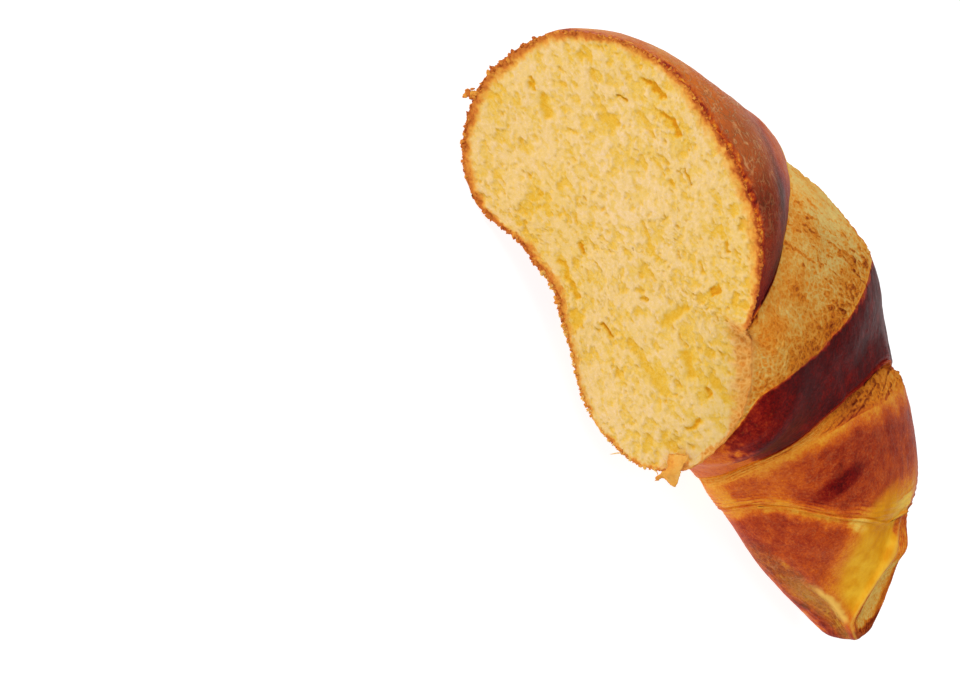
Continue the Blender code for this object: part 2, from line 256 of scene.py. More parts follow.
# Torn fibres that stick out of the rim, as X and Z of both ends and their radius
HAIR_STEPS = 9
HAIR_SIDES = 6
HAIR_BEND = 0.0002
RIM_HAIRS = (
    (0.0404, 0.0083, 0.0399, 0.0061, 0.00016),
    (0.0462, 0.0140, 0.0476, 0.0147, 0.00014),
    (0.0300, 0.0058, 0.0296, 0.0049, 0.00012),
)

# The torn flap: shares of the way down, X and Z there of its left and right side, its thickness
# and the depth of its fork, its rows and columns of points, and how far it stands off and bulges
FLAP_STEPS = (0.0, 0.35, 0.7, 1.0)
FLAP_LEFT = ((0.0438, 0.0184), (0.0463, 0.0171), (0.0474, 0.0148), (0.0484, 0.0129))
FLAP_RIGHT = ((0.0452, 0.0226), (0.0472, 0.0208), (0.0490, 0.0192), (0.0510, 0.0169))
FLAP_THICKNESS = 0.0007
FLAP_FORK = 0.0012
FLAP_ROWS = 49
FLAP_COLUMNS = 25
FLAP_STAND = 0.0002
FLAP_BULGE = 0.0012

# The left side of the buttery patch on the tip, as metres along the leg and degrees
PATCH_LEFT = ((0.104, 46.0), (0.111, 33.0), (0.116, 25.0), (0.120, 18.0), (0.125, 10.0), (0.130, 6.0),
              (0.134, 10.0), (0.138, 17.0))

# How baked each stretch of the skin is: 0 is pale gold, 0.5 red-brown and 1 maroon
TOAST = {
    "band": 0.88,
    "tear": 0.27,
    "strip": 0.97,
    "second tear": 0.24,
    "third": 0.26,
    "yellow": 0.20,
    "tip": 0.60,
    "pale side": 0.24,
    "flap": 0.08,
    "side": 0.27,
    "knob": 0.50,
    "underside": 0.58,
    "blunt end": 0.72,
    "rim": 0.50,
}

# How much browner the wavy lines make the skin, and how dark the painted shade in the pits and bubbles is
LINE_TOAST = 0.24
PAINTED_PIT_SHADE = 0.42

# The noise of the skin's colours, and the heights and sizes of its fine relief
SOFT_NOISE = 0.010
FINE_NOISE = 0.0022
SWELL_HEIGHT = 0.00022
GRAIN_HEIGHT = 0.00005
FELT_HEIGHT = 0.00012
TORN_ROUGHNESS = 0.00048
RAGGED_STEP = 0.00026
SMALL_PIT = 0.0017
LARGE_PIT = 0.0029
PIT_DEPTH = 0.0006
SPONGE_PIT = 0.0016
SPONGE_DEPTH = 0.00040

# The wavy lines: how many on the second torn joint, their spacing elsewhere, their heights and
# how dark they are: on that joint, at the third line, on the tip's flap and on its side
SECOND_TEAR_LINES = 4.5
THIRD_SPACING = 0.0013
FLAP_SPACING = 0.0011
SIDE_SPACING = 0.0014
LINE_HEIGHTS = (0.00012, 0.00012, 0.00011, 0.00008)
LINE_SHADES = (1.0, 1.0, 1.0, 0.7)

# The knob at the right of the tongue and the dent beyond it: height, place and half size, as
# metres along the leg and degrees
KNOB = (0.0006, (0.1216, 96.0), (0.0026, 26.0))
DENT = (-0.0021, (0.1276, 100.0), (0.0025, 32.0))

# The burnt spot: its place in millimetres and degrees, its size alike, and how far it leans
SPOT_PLACE = (99.17, 25.5)
SPOT_SIZE = (3.0, 15.5)
SPOT_LEAN = 0.06

# The section's radius in millimetres for the fibres that run round it
SECTION_MILLIMETRES = 24.0

# The studio
FLOOR_SIZE = 8.0
FLOOR_GAP = 0.0004
FLOOR_TONE = 0.30
FLOOR_GLOW = 0.92
WORLD_LIGHT = 0.34
KEY_PLACE = (-0.9, -1.0, 1.1)
KEY_SIZE = 0.8
KEY_POWER = 12.5
TOP_PLACE = (0.5, 0.3, 1.5)
TOP_SIZE = 0.9
TOP_POWER = 5.5

# The camera
VIEW_AZIMUTH = -7.0
VIEW_HEIGHT = 30.0
VIEW_ROLL = 70.0
VIEW_DISTANCE = 0.62
METRES_PER_PIXEL = 0.000205
IMAGE_SIZE = (960, 673)
AIM_PIXEL = (633, 244)
AIM_HEIGHT = 0.030


def ease(value, start, end):
    """0 before start, 1 after end and an S-shaped rise between them."""
    share = np.clip((value - start) / (end - start), 0.0, 1.0)
    return share * share * (3.0 - 2.0 * share)


def fall(value, start, end):
    """1 before start, 0 after end and an S-shaped drop between them."""
    return 1.0 - ease(value, start, end)


def span(value, start, full, last, end):
    """0 outside start and end, and 1 from full to last."""
    return ease(value, start, full) * fall(value, last, end)


def hill(value, middle, width):
    """1 at the middle, falling off softly over the width to each side."""
    return np.exp(-((value - middle) / width) ** 2)


def blend(first, second, share):
    """The first value where the share is 0 and the second where it is 1."""
    return first * (1.0 - share) + second * share


def curve(places, values, at):
    """A smooth curve through the values that never overshoots them."""
    places, values = np.asarray(places, float), np.asarray(values, float)
    gaps = np.diff(places)
    slopes = np.diff(values) / gaps
    product = slopes[:-1] * slopes[1:]
    total = slopes[:-1] + slopes[1:]
    inner = np.where(product > 0.0, 2.0 * product / np.where(total == 0.0, 1.0, total), 0.0)
    leans = np.concatenate([slopes[:1], inner, slopes[-1:]])
    at = np.clip(at, places[0], places[-1])
    i = np.clip(np.searchsorted(places, at, side="right") - 1, 0, len(gaps) - 1)
    t = (at - places[i]) / gaps[i]
    start = (1.0 + 2.0 * t) * (1.0 - t) ** 2 * values[i] + t * (1.0 - t) ** 2 * gaps[i] * leans[i]
    end = t * t * (3.0 - 2.0 * t) * values[i + 1] + t * t * (t - 1.0) * gaps[i] * leans[i + 1]
    return start + end


def round_curve(pairs, degrees):
    """The curve through pairs of degrees and values, closed on itself after 360."""
    pairs = sorted(pairs)
    turns = [(angle + 360.0 * turn, value) for turn in (-1, 0, 1) for angle, value in pairs]
    return curve(*zip(*turns), degrees % 360.0)


def cut_radius(degrees):
    """The distance from the middle of the cut face to its outline."""
    pairs = []
    for x, z in CUT_OUTLINE:
        angle = np.degrees(np.arctan2(z - CUT_CENTRE_Z, x)) % 360.0
        pairs.append((angle, np.hypot(x, z - CUT_CENTRE_Z)))
    return round_curve(pairs, degrees)


def signed(degrees):
    """Degrees from -180 to 180, with 0 on the inner side of the bend."""
    return (degrees + 180.0) % 360.0 - 180.0


def edge_distances(degrees):
    """How far along the leg the layers' edges and ridges lie."""
    edges = (FIRST_EDGE, FIRST_RIDGE, SECOND_EDGE, SECOND_RIDGE, THIRD_EDGE)
    return [round_curve(edge, degrees) for edge in edges]


def slant(edge, degrees, step=2.0):
    """How many times longer a distance along the leg is than one square to the edge."""
    change = round_curve(edge, degrees + step) - round_curve(edge, degrees - step)
    return np.hypot(1.0, change / (np.radians(2.0 * step) * SECTION_RADIUS))


def centre_line(steps=400):
    """X, Y and heading along the leg, from the cut to the end of the tip."""
    share = (np.arange(steps) + 0.5) / steps
    heading = np.cumsum(curve(BEND_STATIONS, BEND_RATE, share)) / steps
    x = CENTRE_X + np.cumsum(np.sin(heading)) * LEG_LENGTH / steps
    y = np.cumsum(np.cos(heading)) * LEG_LENGTH / steps
    return [np.concatenate([[first], rest]) for first, rest in ((CENTRE_X, x), (0.0, y), (0.0, heading))]


def centre_at(distance):
    """X, Y and heading on the centre line, straight on past its end."""
    x, y, heading = centre_line()
    marks = np.linspace(0.0, LEG_LENGTH, len(x))
    past = np.maximum(distance - LEG_LENGTH, 0.0)
    turn = np.interp(distance, marks, heading)
    at_x = np.interp(distance, marks, x) + past * np.sin(turn)
    at_y = np.interp(distance, marks, y) + past * np.cos(turn)
    return at_x, at_y, turn


def relief(distance, degrees):
    """How far the layers stand above or below the smooth roll."""
    first, ridge, second, second_ridge, third = edge_distances(degrees)
    inner = signed(degrees)
    shown = fall(np.abs(signed(degrees - 90.0)), *RELIEF_FADE)
    second_drop = SECOND_DROP * (INNER_SHARE + (1.0 - INNER_SHARE) * ease(np.abs(inner), *INNER_SHARE_ANGLES))
    outer = span(degrees, *STRIP_SAG_SPAN)
    second_drop = second_drop * (1.0 - OUTER_SHARE * outer)
    steps = (
        (first, ridge - first, FIRST_DROP * np.where(inner > SEAM_ANGLE, ease(inner, *NOTCH_ANGLES), 1.0)),
        (second, (second_ridge - second) * SECOND_RUN, second_drop),
        (third, THIRD_RUN, THIRD_DROP),
    )
    height = 0.0
    for (edge, run, drop), rise in zip(steps, DROP_RISE):
        past = distance - edge
        left = np.clip(1.0 - past / run, 0.0, 1.0)
        height = height - shown * drop * ease(past, 0.0, DROP_RUN) * left ** rise
        lip = np.where(past < 0.0, ease(past, -LIP_RUN, 0.0), 0.0) * np.minimum(drop / THIRD_DROP, 1.0)
        height = height - shown * LIP_ROUND * lip
    along = np.clip(distance / first, 0.0, 1.0)
    height = height + BAND_BULGE * 4.0 * along * (1.0 - along) * span(degrees, *BAND_BULGE_SPAN)
    sag = ease(distance, ridge, second) ** 2 * fall(distance - second, 0.0, LIP_RUN)
    height = height - STRIP_SAG * outer * sag
    off_ridge = (distance - ridge) / (RIDGE_RUN * slant(FIRST_RIDGE, degrees))
    crest = np.clip(1.0 - off_ridge ** 2, 0.0, 1.0) ** RIDGE_POWER
    return height + RIDGE_RISE * crest * ease(inner, *RIDGE_ANGLES) * fall(degrees, *RIDGE_FADE)


def inner_fill(distance, degrees):
    """How far the inner corner, between the cut face and the leg, is filled out."""
    return INNER_FILL * span(distance, *INNER_FILL_SPAN) * span(signed(degrees), *INNER_FILL_ANGLES)


def fold_offsets(distance, degrees):
    """How far past the left and the right fold of the tip a point lies, round the section."""
    inner = signed(degrees)
    lines = (curve(*zip(*line), distance) for line in (FOLD_LEFT, FOLD_RIGHT))
    return [np.radians(inner - line) * FOLD_SECTION for line in lines]


def fold_relief(distance, degrees):
    """The folds of the tip, with the smooth tongue between them and a flap beyond."""
    left, right = fold_offsets(distance, degrees)
    lips = hill(left, 0.0, FOLD_WIDTH) + hill(right, 0.0, RIGHT_FOLD_WIDTH)
    between = ease(left, 0.0, FOLD_SLOPE) * ease(-right, 0.0, FOLD_SLOPE)
    grown = ease(distance, FOLD_START, FOLD_START + FOLD_RUN)
    return grown * (FOLD_HEIGHT * (lips - TONGUE_DEPTH * between) - FLAP_DROP * span(right, *FLAP_SPAN))


def section_radius(distance, degrees):
    """The distance from the centre line to the smooth roll."""
    share = distance / LEG_LENGTH
    width = curve(STATIONS, HALF_WIDTH, share)
    half_height = curve(STATIONS, HEIGHT, share) * 0.5
    across = np.abs(np.cos(np.radians(degrees)))
    up = np.sin(np.radians(degrees))
    power = np.where(up > 0.0, TOP_ROUNDNESS, BASE_ROUNDNESS)
    roll = ((across / width) ** power + (np.abs(up) / half_height) ** power) ** (-1.0 / power)
    return blend(cut_radius(degrees), roll, ease(distance, 0.0, CUT_BLEND))


def round_over(degrees):
    """How far back the cut edge lies where it rounds over into the torn layer."""
    room = ROUND_OVER_ROOM * ROUND_OVER_REACH * (1.0 - cut_radius(degrees) * BEND_RATE[0] / LEG_LENGTH)
    return np.clip(room, 0.0, ROUND_OVER) * span(signed(degrees), *ROUND_OVER_ANGLES)


def surface(distance, degrees, shrink=1.0):
    """Points on the leg's skin at distances along it and degrees round it."""
    distance, degrees = np.asarray(distance, float), np.asarray(degrees, float)
    x, y, heading = centre_at(distance)
    share = distance / LEG_LENGTH
    rolled = ease(distance, 0.0, CUT_BLEND)
    middle = blend(CUT_CENTRE_Z, curve(STATIONS, HEIGHT, share) * 0.5, rolled)
    middle = middle + TIP_LIFT * np.minimum(share, 1.0) ** TIP_LIFT_POWER - UNDERSIDE_SINK * rolled
    radius = section_radius(distance, degrees) + inner_fill(distance, degrees)
    radius = radius + relief(distance, degrees) + fold_relief(distance, degrees)
    out = radius * shrink * np.cos(np.radians(degrees))
    rise = radius * shrink * np.sin(np.radians(degrees))
    back = round_over(degrees) * np.clip(1.0 - distance / ROUND_OVER_REACH, 0.0, 1.0)
    at_x = x + out * np.cos(heading)
    at_y = y - out * np.sin(heading) + back
    return np.stack([at_x, at_y, np.maximum(middle + rise, 0.0)], -1)


def tip_end(degrees):
    """How far along the leg its slanting end lies."""
    return LEG_LENGTH - TIP_SLANT * (1.0 - np.cos(np.radians(degrees - TIP_POINT_ANGLE))) / 2.0


def tip_ring(past, shrink, degrees):
    """Points of the blunt end at a share of its length, drawn in towards its middle."""
    distance = tip_end(degrees) * shrink + (LEG_LENGTH - TIP_SLANT / 2.0) * (1.0 - shrink)
    return surface(distance + TIP_LENGTH * past, degrees, shrink)


def scatter(cell, seed):
    """An even random number from 0 to 1 for each whole-numbered cell."""
    mix = np.full(cell.shape[:-1], seed * 974634777 + 1013904223, np.int64)
    for axis, factor in zip(range(cell.shape[-1]), (374761393, 668265263, 1274126177)):
        mix = mix + cell[..., axis] * factor
    mix = mix & 0xFFFFFFFF
    mix = ((mix ^ (mix >> 13)) * 1274126177) & 0xFFFFFFFF
    mix = ((mix ^ (mix >> 15)) * 1103515245) & 0xFFFFFFFF
    return ((mix ^ (mix >> 16)) & 0xFFFFFF) / 16777215.0


def waves(points, size, seed, octaves=3, rough=0.5):
    """Soft noise from about -1 to 1, whose largest bumps measure about size."""
    total, weight = 0.0, 1.0
    for octave in range(octaves):
        at = points / size * 2.0 ** octave + 17.3 * (octave + 1)
        low = np.floor(at)
        share = at - low
        share = share ** 3 * (share * (share * 6.0 - 15.0) + 10.0)
        low = low.astype(np.int64)
        value = 0.0
        for corner in np.ndindex(*(2,) * points.shape[-1]):
            side = np.array(corner)
            amount = np.prod(np.where(side == 1, share, 1.0 - share), axis=-1)
            value = value + amount * scatter(low + side, seed + octave)
        total = total + weight * (value * 2.0 - 1.0)
        weight *= rough
    return total


def shaken(points, amount, size, seeds, octaves=3):
    """The points, each moved unevenly by up to about an amount."""
    return points + amount * np.stack([waves(points, size, seed, octaves, 0.7) for seed in seeds], -1)


def bubbles(points, size, seed):
    """For uneven cells as in foam: how far inside its cell a point lies, and a number for the cell."""
    at = points / size
    low = np.floor(at).astype(np.int64)
    near = np.full(points.shape[:-1], 9.0)
    second = near.copy()
    lot = np.zeros_like(near)
    for step in np.ndindex(*(3,) * points.shape[-1]):
        cell = low + np.array(step) - 1
        place = np.stack([scatter(cell, seed + 11 * (axis + 1)) for axis in range(points.shape[-1])], -1)
        away = np.linalg.norm(at - cell - place, axis=-1)
        closer = away < near
        second = np.where(closer, near, np.minimum(second, away))
        lot = np.where(closer, scatter(cell, seed + 5), lot)
        near = np.where(closer, away, near)
    return second - near, lot


def grid_normals(points):
    """Unit normals of a grid that is closed along its second axis."""
    along = np.gradient(points, axis=0)
    around = np.roll(points, -1, 1) - np.roll(points, 1, 1)
    normal = np.cross(around, along)
    return normal / np.maximum(np.linalg.norm(normal, axis=-1, keepdims=True), 1e-12)


def shown_edges(degrees):
    """The layer lines that the colours follow: the first ridge lies farther on near the notch."""
    first, ridge, second, second_ridge, third = edge_distances(degrees)
    ridge = ridge + RIDGE_SHIFT * hill(signed(degrees), RIDGE_SHIFT_ANGLE, RIDGE_SHIFT_SPREAD)
    return first, ridge, second, second_ridge, third


def skin_angles():
    """Degrees round the section, closer together where the layers show."""
    start, end = VISIBLE_ARC
    shown = start + (end - start) * np.arange(VISIBLE_POINTS) / VISIBLE_POINTS
    hidden = end + (360.0 + start - end) * np.arange(HIDDEN_POINTS) / HIDDEN_POINTS
    return np.concatenate([shown, hidden]) % 360.0


def skin_rows(degrees):
    """The distances of all rows of the skin, and the row at which each piece ends."""
    edges = shown_edges(degrees)
    rows, ends = [np.zeros_like(degrees)], []
    for name, stretches in SKIN_PIECES:
        for which, share, offset, count in stretches:
            start = rows[-1]
            if which == "end":
                end = tip_end(degrees)
            else:
                end = edges[which] + offset
                if share < 1.0:
                    end = edges[which - 1] + (end - edges[which - 1]) * share
            end = np.maximum(end, start + LEAST_ROW * count)
            rows += [start + (end - start) * (i + 1) / count for i in range(count)]
        ends.append(len(rows) - 1)
    return np.stack(rows), ends


class Places:
    """Where the points of the skin lie, the layer lines by them and the noise that colours share."""

    def __init__(self, points, distance, degrees):
        self.points = points
        self.distance = distance
        self.inner = signed(degrees)
        self.first, self.ridge, self.second, self.second_ridge, self.third = shown_edges(degrees)
        self.end = tip_end(degrees)
        self.left, self.right = fold_offsets(distance, degrees)
        self.torn, self.torn_second = torn_shares(self, degrees)
        self.soft = waves(points, SOFT_NOISE, 71, 3, 0.6)
        self.fine = waves(points, FINE_NOISE, 75, 3, 0.7)


def torn_shares(at, degrees):
    """1 where the first and the second torn joint show and 0 on the crust."""
    rough = TORN_ROUGHNESS * (np.sin(np.radians(degrees) * 47.0) + np.sin(np.radians(degrees) * 83.0 + 1.0))
    one = ease(at.distance, at.first - 0.0002, at.first + DROP_RUN * 0.7)
    one = one * fall(at.distance, at.ridge - 0.0016 + rough, at.ridge + 0.0006 + rough)
    two = ease(at.distance, at.second - 0.0001, at.second + DROP_RUN * 0.7)
    two = two * fall(at.distance, at.second_ridge - 0.0030, at.second_ridge + 0.0010)
    return one, two


def ragged(points, gap):
    """Small uneven steps of the skin and crumb close to the cut's rim."""
    near = np.exp(-(gap / RIM_REACH) ** 2)[..., None]
    steps = [RAGGED_STEP * waves(points, 0.0016, seed, 2, 0.6) for seed in (61, 64, 67)]
    return near * np.stack(steps, -1)


def torn_relief(at, pit_depth):
    """The felt and the pits of the first torn joint: their height, and how far in a pit a point is."""
    near_ridge = ease(at.distance, at.ridge - 0.016, at.ridge - 0.002)
    shown = at.torn > 0.01
    there = at.points[shown]
    small, large, felt = (np.zeros_like(at.distance) for _ in range(3))
    bent = shaken(there, 0.0006, 0.0021, (14, 16, 18), 2)
    inside, lot = bubbles(bent, SMALL_PIT, 21)
    small[shown] = ease(inside, 0.10, 0.45) * (0.35 + 0.65 * lot)
    inside, lot = bubbles(bent, LARGE_PIT, 25)
    large[shown] = ease(inside, 0.12, 0.42) * ease(lot, 0.45, 0.85)
    felt[shown] = FELT_HEIGHT * waves(there, 0.0012, 8, 3, 0.8) + SWELL_HEIGHT * waves(there, 0.006, 12, 2)
    pit = np.maximum(0.55 * small * (0.45 + 0.55 * near_ridge), large * near_ridge)
    return at.torn * (felt - pit_depth * pit), pit


def sponge_share(at):
    """How far in a bubble of the second torn joint a point is, where that joint is spongy."""
    sponge = np.zeros_like(at.distance)
    shown = at.torn_second > 0.01
    inside, lot = bubbles(at.points[shown], SPONGE_PIT, 35)
    sponge[shown] = ease(inside, 0.12, 0.45) * (0.3 + 0.7 * lot)
    return at.torn_second * (ease(at.inner, 15.0, 75.0) + fall(at.inner, -165.0, -100.0)) * sponge


def wrinkle_sets(at):
    """The sets of wavy lines: where each shows, its line, its height and how dark it is."""
    across = (at.distance - at.second) / np.maximum(at.second_ridge - at.second, 0.001)
    sets = (
        (across * SECOND_TEAR_LINES, 2.5, 0.006, 31),
        ((at.distance - at.third) / THIRD_SPACING, 3.0, 0.007, 37),
        (at.right / FLAP_SPACING, 5.0, 0.0045, 39),
        (at.left / SIDE_SPACING, 6.0, 0.0040, 41),
    )
    lines = [np.sin(2.0 * np.pi * turns + bend * waves(at.points, size, seed, 2))
             for turns, bend, size, seed in sets]
    lined = at.torn_second * span(at.inner, -165.0, -100.0, 45.0, 95.0)
    by_third = hill(at.distance, at.third - 0.0012, 0.0042)
    flap = span(at.right, 0.0006, 0.0020, 0.018, 0.026) * ease(at.distance, 0.116, 0.124)
    outside = span(at.left, -0.012, -0.006, -0.0022, -0.0008) * ease(at.distance, 0.112, 0.120)
    faded = (1.0, fall(np.abs(at.inner - 50.0), 90.0, 130.0), 1.0, 1.0)
    heights = [height * share for height, share in zip(LINE_HEIGHTS, faded)]
    return zip((lined, by_third, flap, outside), lines, heights, LINE_SHADES)


def skin_relief(at, pit_depth):
    """The skin's height along its normal, and how deep in a pit and in a wrinkle each point is."""
    crust = 1.0 - np.maximum(at.torn, at.torn_second)
    height = SWELL_HEIGHT * waves(at.points, 0.013, 3, 2)
    height = height + crust * GRAIN_HEIGHT * waves(at.points, 0.0026, 5, 3, 0.6)
    torn_height, pit = torn_relief(at, pit_depth)
    sponge = sponge_share(at)
    height = height + torn_height - SPONGE_DEPTH * sponge
    lines = 0.0
    for share, line, rise, dark in wrinkle_sets(at):
        height = height + rise * share * line
        lines = lines + dark * share * np.clip(-line, 0.0, 1.0)
    lines = np.clip(lines, 0.0, 1.0) * np.clip(0.6 + 0.9 * waves(at.points, 0.0035, 43, 2, 0.7), 0.0, 1.0)
    for rise, (along, angle), (long, wide) in (KNOB, DENT):
        height = height + rise * hill(at.distance, along, long) * hill(at.inner, angle, wide)
    # The second value marks the pits and bubbles that get painted shade
    return height, np.clip(at.torn * pit * 1.2 + sponge, 0.0, 1.0), lines


def skin_grid(pit_depth):
    """The skin's grid of points, the marks that its colours follow and where each piece ends."""
    degrees = skin_angles()
    distance, ends = skin_rows(degrees)
    degrees = np.broadcast_to(degrees, distance.shape)
    smooth = surface(distance, degrees)
    at = Places(smooth, distance, degrees)
    height, dark, lines = skin_relief(at, pit_depth)
    away = ease(distance, 0.0, 0.0010)
    points = smooth + grid_normals(smooth) * (height * away)[..., None] + ragged(smooth, distance)
    points[..., 2] = np.maximum(points[..., 2], 0.0)
    turns = np.linspace(0.0, np.pi / 2.0, CAP_ROWS + 1)[1:-1]
    cap = np.stack([tip_ring(np.sin(turn), np.cos(turn), degrees[0]) for turn in turns])
    marks = skin_marks(at, dark, lines)
    fade = np.linspace(1.0, 0.0, len(cap) + 2)[1:-1, None]
    for name, values in marks.items():
        middle = values[-1:].mean()
        marks[name] = np.concatenate([values, middle + (values[-1:] - middle) * fade])
    ends[-1] += len(cap)
    return np.concatenate([points, cap]), marks, ends


def close_round(values, inner):
    """Lets the values of the underside run into the outer side's, where the angles start again."""
    outer = values[:, inner[0] > 165.0].mean(axis=1, keepdims=True)
    return blend(values, outer, ease(-inner, 50.0, 165.0))


def band_toast(at):
    """The first crust: dark at its top, with a darker streak, paler down its outer side and by its lip,
    partly painted sheen.
    """
    along = np.clip(at.distance / at.first, 0.0, 1.0)
    # Paler down the outer side: partly the crust's own colour, partly painted sheen of glancing light
    toast = TOAST["band"] - 0.22 * ease(at.inner, 90.0, 112.0) - 0.28 * ease(at.inner, 112.0, 140.0)
    # Paler by the lip where the crust turns to the side: painted sheen
    toast = toast - 0.10 * ease(along, 0.62, 0.80) * ease(at.inner, 70.0, 92.0) + 0.08 * at.soft
    return toast + 0.16 * hill(along, 0.52, 0.07) * span(at.inner, 74.0, 90.0, 112.0, 126.0)


def painted_lip_shade(at):
    """1 in the painted shade under the first crust's lip."""
    share = fall(at.distance + 0.0016 * at.fine, at.first + 0.0012, at.first + 0.0062)
    share = share * ease(at.inner, 32.0, 42.0) * (1.0 - 0.8 * ease(at.inner, 66.0, 92.0))
    return share * (at.distance > at.first)


def tear_toast(at):
    """The first torn joint: browner by its ridge, with short dashes, and painted shade under the crust's lip.
    """
    toast = TOAST["tear"] + 0.10 * ease(at.distance, at.ridge - 0.016, at.ridge - 0.001)
    toast = toast - 0.10 * ease(at.inner, 46.0, 70.0) - 0.12 * ease(at.inner, 92.0, 120.0)
    toast = toast + 0.09 * at.soft + 0.06 * waves(at.points, 0.0050, 89, 2, 0.6)
    flat = np.stack([at.distance * 0.5, np.radians(at.inner) * 0.03], -1)
    dash = ease(waves(flat, 0.0013, 85, 2, 0.6), 0.60, 0.82)
    toast = toast + 0.26 * dash * span(at.inner, 40.0, 70.0, 105.0, 135.0)
    # Painted shade under the crust's lip
    return toast + 0.94 * painted_lip_shade(at)


def strip_toast(at):
    """The dark strip: maroon, with a jagged orange end on the inner side and paler edges."""
    jagged = at.inner + 2.2 * waves(at.points, 0.0022, 81, 3, 0.8) + 3.0 * at.soft
    toast = TOAST["strip"] - 0.13 * fall(at.inner, 2.0, 34.0) - 0.42 * fall(jagged, 1.5, 6.5)
    toast = toast + 0.03 * at.soft + 0.16 * hill(at.inner, 11.0, 5.0) * ease(at.distance, 0.030, 0.050)
    toast = toast - 0.30 * fall(at.distance - at.ridge + 0.0008 * at.fine, 0.0, 0.0016)
    return toast - 0.16 * ease(at.distance, at.second - 0.0020, at.second)


def second_tear_toast(at):
    """The second torn joint: browner in its middle, with painted shadow under the strip's lip and thin lines.
    """
    toast = TOAST["second tear"] + 0.07 * ease(at.inner, 30.0, 75.0) + 0.26 * hill(at.inner, 44.0, 18.0)
    toast = toast - 0.06 * fall(at.inner, -20.0, 4.0) + 0.06 * at.soft
    flat = np.stack([at.distance, np.radians(at.inner) * 0.004], -1)
    line = ease(waves(flat, 0.0011, 87, 2, 0.6), 0.50, 0.80)
    # Painted shadow under the strip's lip
    painted_lip_shadow = fall(at.distance + 0.0006 * at.fine, at.second, at.second + 0.0024)
    return toast + 0.26 * line * ease(at.inner, -8.0, 14.0) + 0.30 * painted_lip_shadow * ease(at.inner, 0.0, 16.0)


def spot_share(at):
    """1 on the burnt spot of the third crust."""
    start, angle = SPOT_PLACE
    long, wide = SPOT_SIZE
    off = at.distance * 1000.0 - start + SPOT_LEAN * (at.inner - angle)
    lens = (off / long) ** 2 + ((at.inner - angle) / wide) ** 2
    return fall(lens + 0.40 * at.fine, 0.10, 1.7)


def third_toast(at):
    """The third crust: red-brown between paler edges, with its burnt spot and a yellow corner."""
    after = ease(at.distance + 0.0012 * at.soft, at.second_ridge - 0.0010, at.second_ridge + 0.0075)
    toast = TOAST["third"] + after * (0.21 + 0.19 * ease(at.inner, -6.0, 30.0))
    toast = toast + 0.06 * at.soft + 0.04 * at.fine
    toast = toast + 0.22 * spot_share(at)
    by_line = ease(at.distance, at.third - 0.0052, at.third - 0.0012)
    toast = toast - 0.30 * by_line * fall(at.inner, 22.0, 50.0)
    yellow = ease(at.distance + 0.0012 * at.soft, at.third - 0.012, at.third - 0.004)
    return blend(toast, TOAST["yellow"], yellow * span(at.inner, 38.0, 62.0, 100.0, 135.0))


def plain_toast(at):
    """How baked the skin is, before the tip's folds, the underside and the rim."""
    tip = TOAST["tip"] + 0.04 * at.soft + 0.04 * at.fine
    tip = tip - 0.40 * fall(at.distance + 0.0008 * at.fine, at.third + 0.0010, at.third + 0.0060)
    pale = fall(at.inner + 6.0 * at.soft, -20.0, -7.0)
    pale = pale * fall(at.distance, at.third + 0.002, at.third + 0.006)
    pieces = [band_toast(at), tear_toast(at), strip_toast(at), second_tear_toast(at),
              blend(third_toast(at), TOAST["pale side"], pale)]
    edges = (at.first, at.ridge, at.second, at.second_ridge, at.third)
    return np.select([at.distance < edge for edge in edges], pieces, blend(tip, TOAST["pale side"], pale))


def tip_folds(at):
    """Where the parts of the folded tip show: its tongue, lips, flap, knob and netted side, and a painted
    shadow line where the flap drops.
    """
    wide = np.radians(at.inner - curve(*zip(*PATCH_LEFT), at.distance)) * FOLD_SECTION
    glow = ease(wide + 0.0004 * at.fine, -0.0030, 0.0012) * fall(at.right, 0.0, 0.0010)
    tongue = ease(wide + 0.0003 * at.fine, 0.0006, 0.0036) * fall(at.right, -0.0004, 0.0004)
    tongue = tongue * ease(at.distance + 0.0010 * waves(at.points, 0.005, 83, 2), 0.1080, 0.1140)
    tongue = tongue * (1.0 - ease(at.inner, 60.0, 80.0) * fall(at.distance, 0.117, 0.122))
    lip_width = 0.0009 + 0.0004 * ease(at.distance, 0.1270, 0.1340)
    lip = np.exp(-((at.left + 0.0008 + 0.0004 * at.fine) / lip_width) ** 4)
    lip = lip * ease(at.distance + 0.0012 * at.fine, 0.1245, 0.1290) * fall(at.distance, 0.1370, 0.1395)
    lip = np.maximum(lip, 0.5 * hill(at.right, -0.0003, 0.0005) * ease(at.distance, 0.119, 0.124))
    flap = span(at.right, 0.0002, 0.0008, 0.014, 0.024) * ease(at.distance + 0.0012 * at.fine, 0.1265, 0.1295)
    knob = ((at.distance - 0.1220) / 0.0026) ** 2 + ((at.inner - 86.0) / 12.0) ** 2 + 0.25 * at.fine
    outside = fall(at.left, -0.0014, -0.0004) * ease(at.distance, 0.104, 0.114)
    side = ease(at.right, 0.0, 0.0008) * (1.0 - flap) * (at.distance > at.third)
    return {
        "glow": glow * ease(at.distance, 0.104, 0.112) * (at.distance > at.third - 0.004),
        "tongue": tongue * (1.0 - 0.9 * fall(knob, 0.5, 1.3)),
        "lip": lip,
        "flap": flap,
        # A painted shadow line where the flap drops below the right fold
        "flap_shadow": hill(at.right, 0.0009, 0.0005) * ease(at.distance, 0.1265, 0.1300),
        "side": side * fall(at.inner, 124.0, 150.0),
        "knob": knob,
        "outside": outside,
        "pale net": outside * hill(at.left, -0.0036, 0.0024),
        "dark net": outside * hill(at.left, -0.0072, 0.0016),
    }


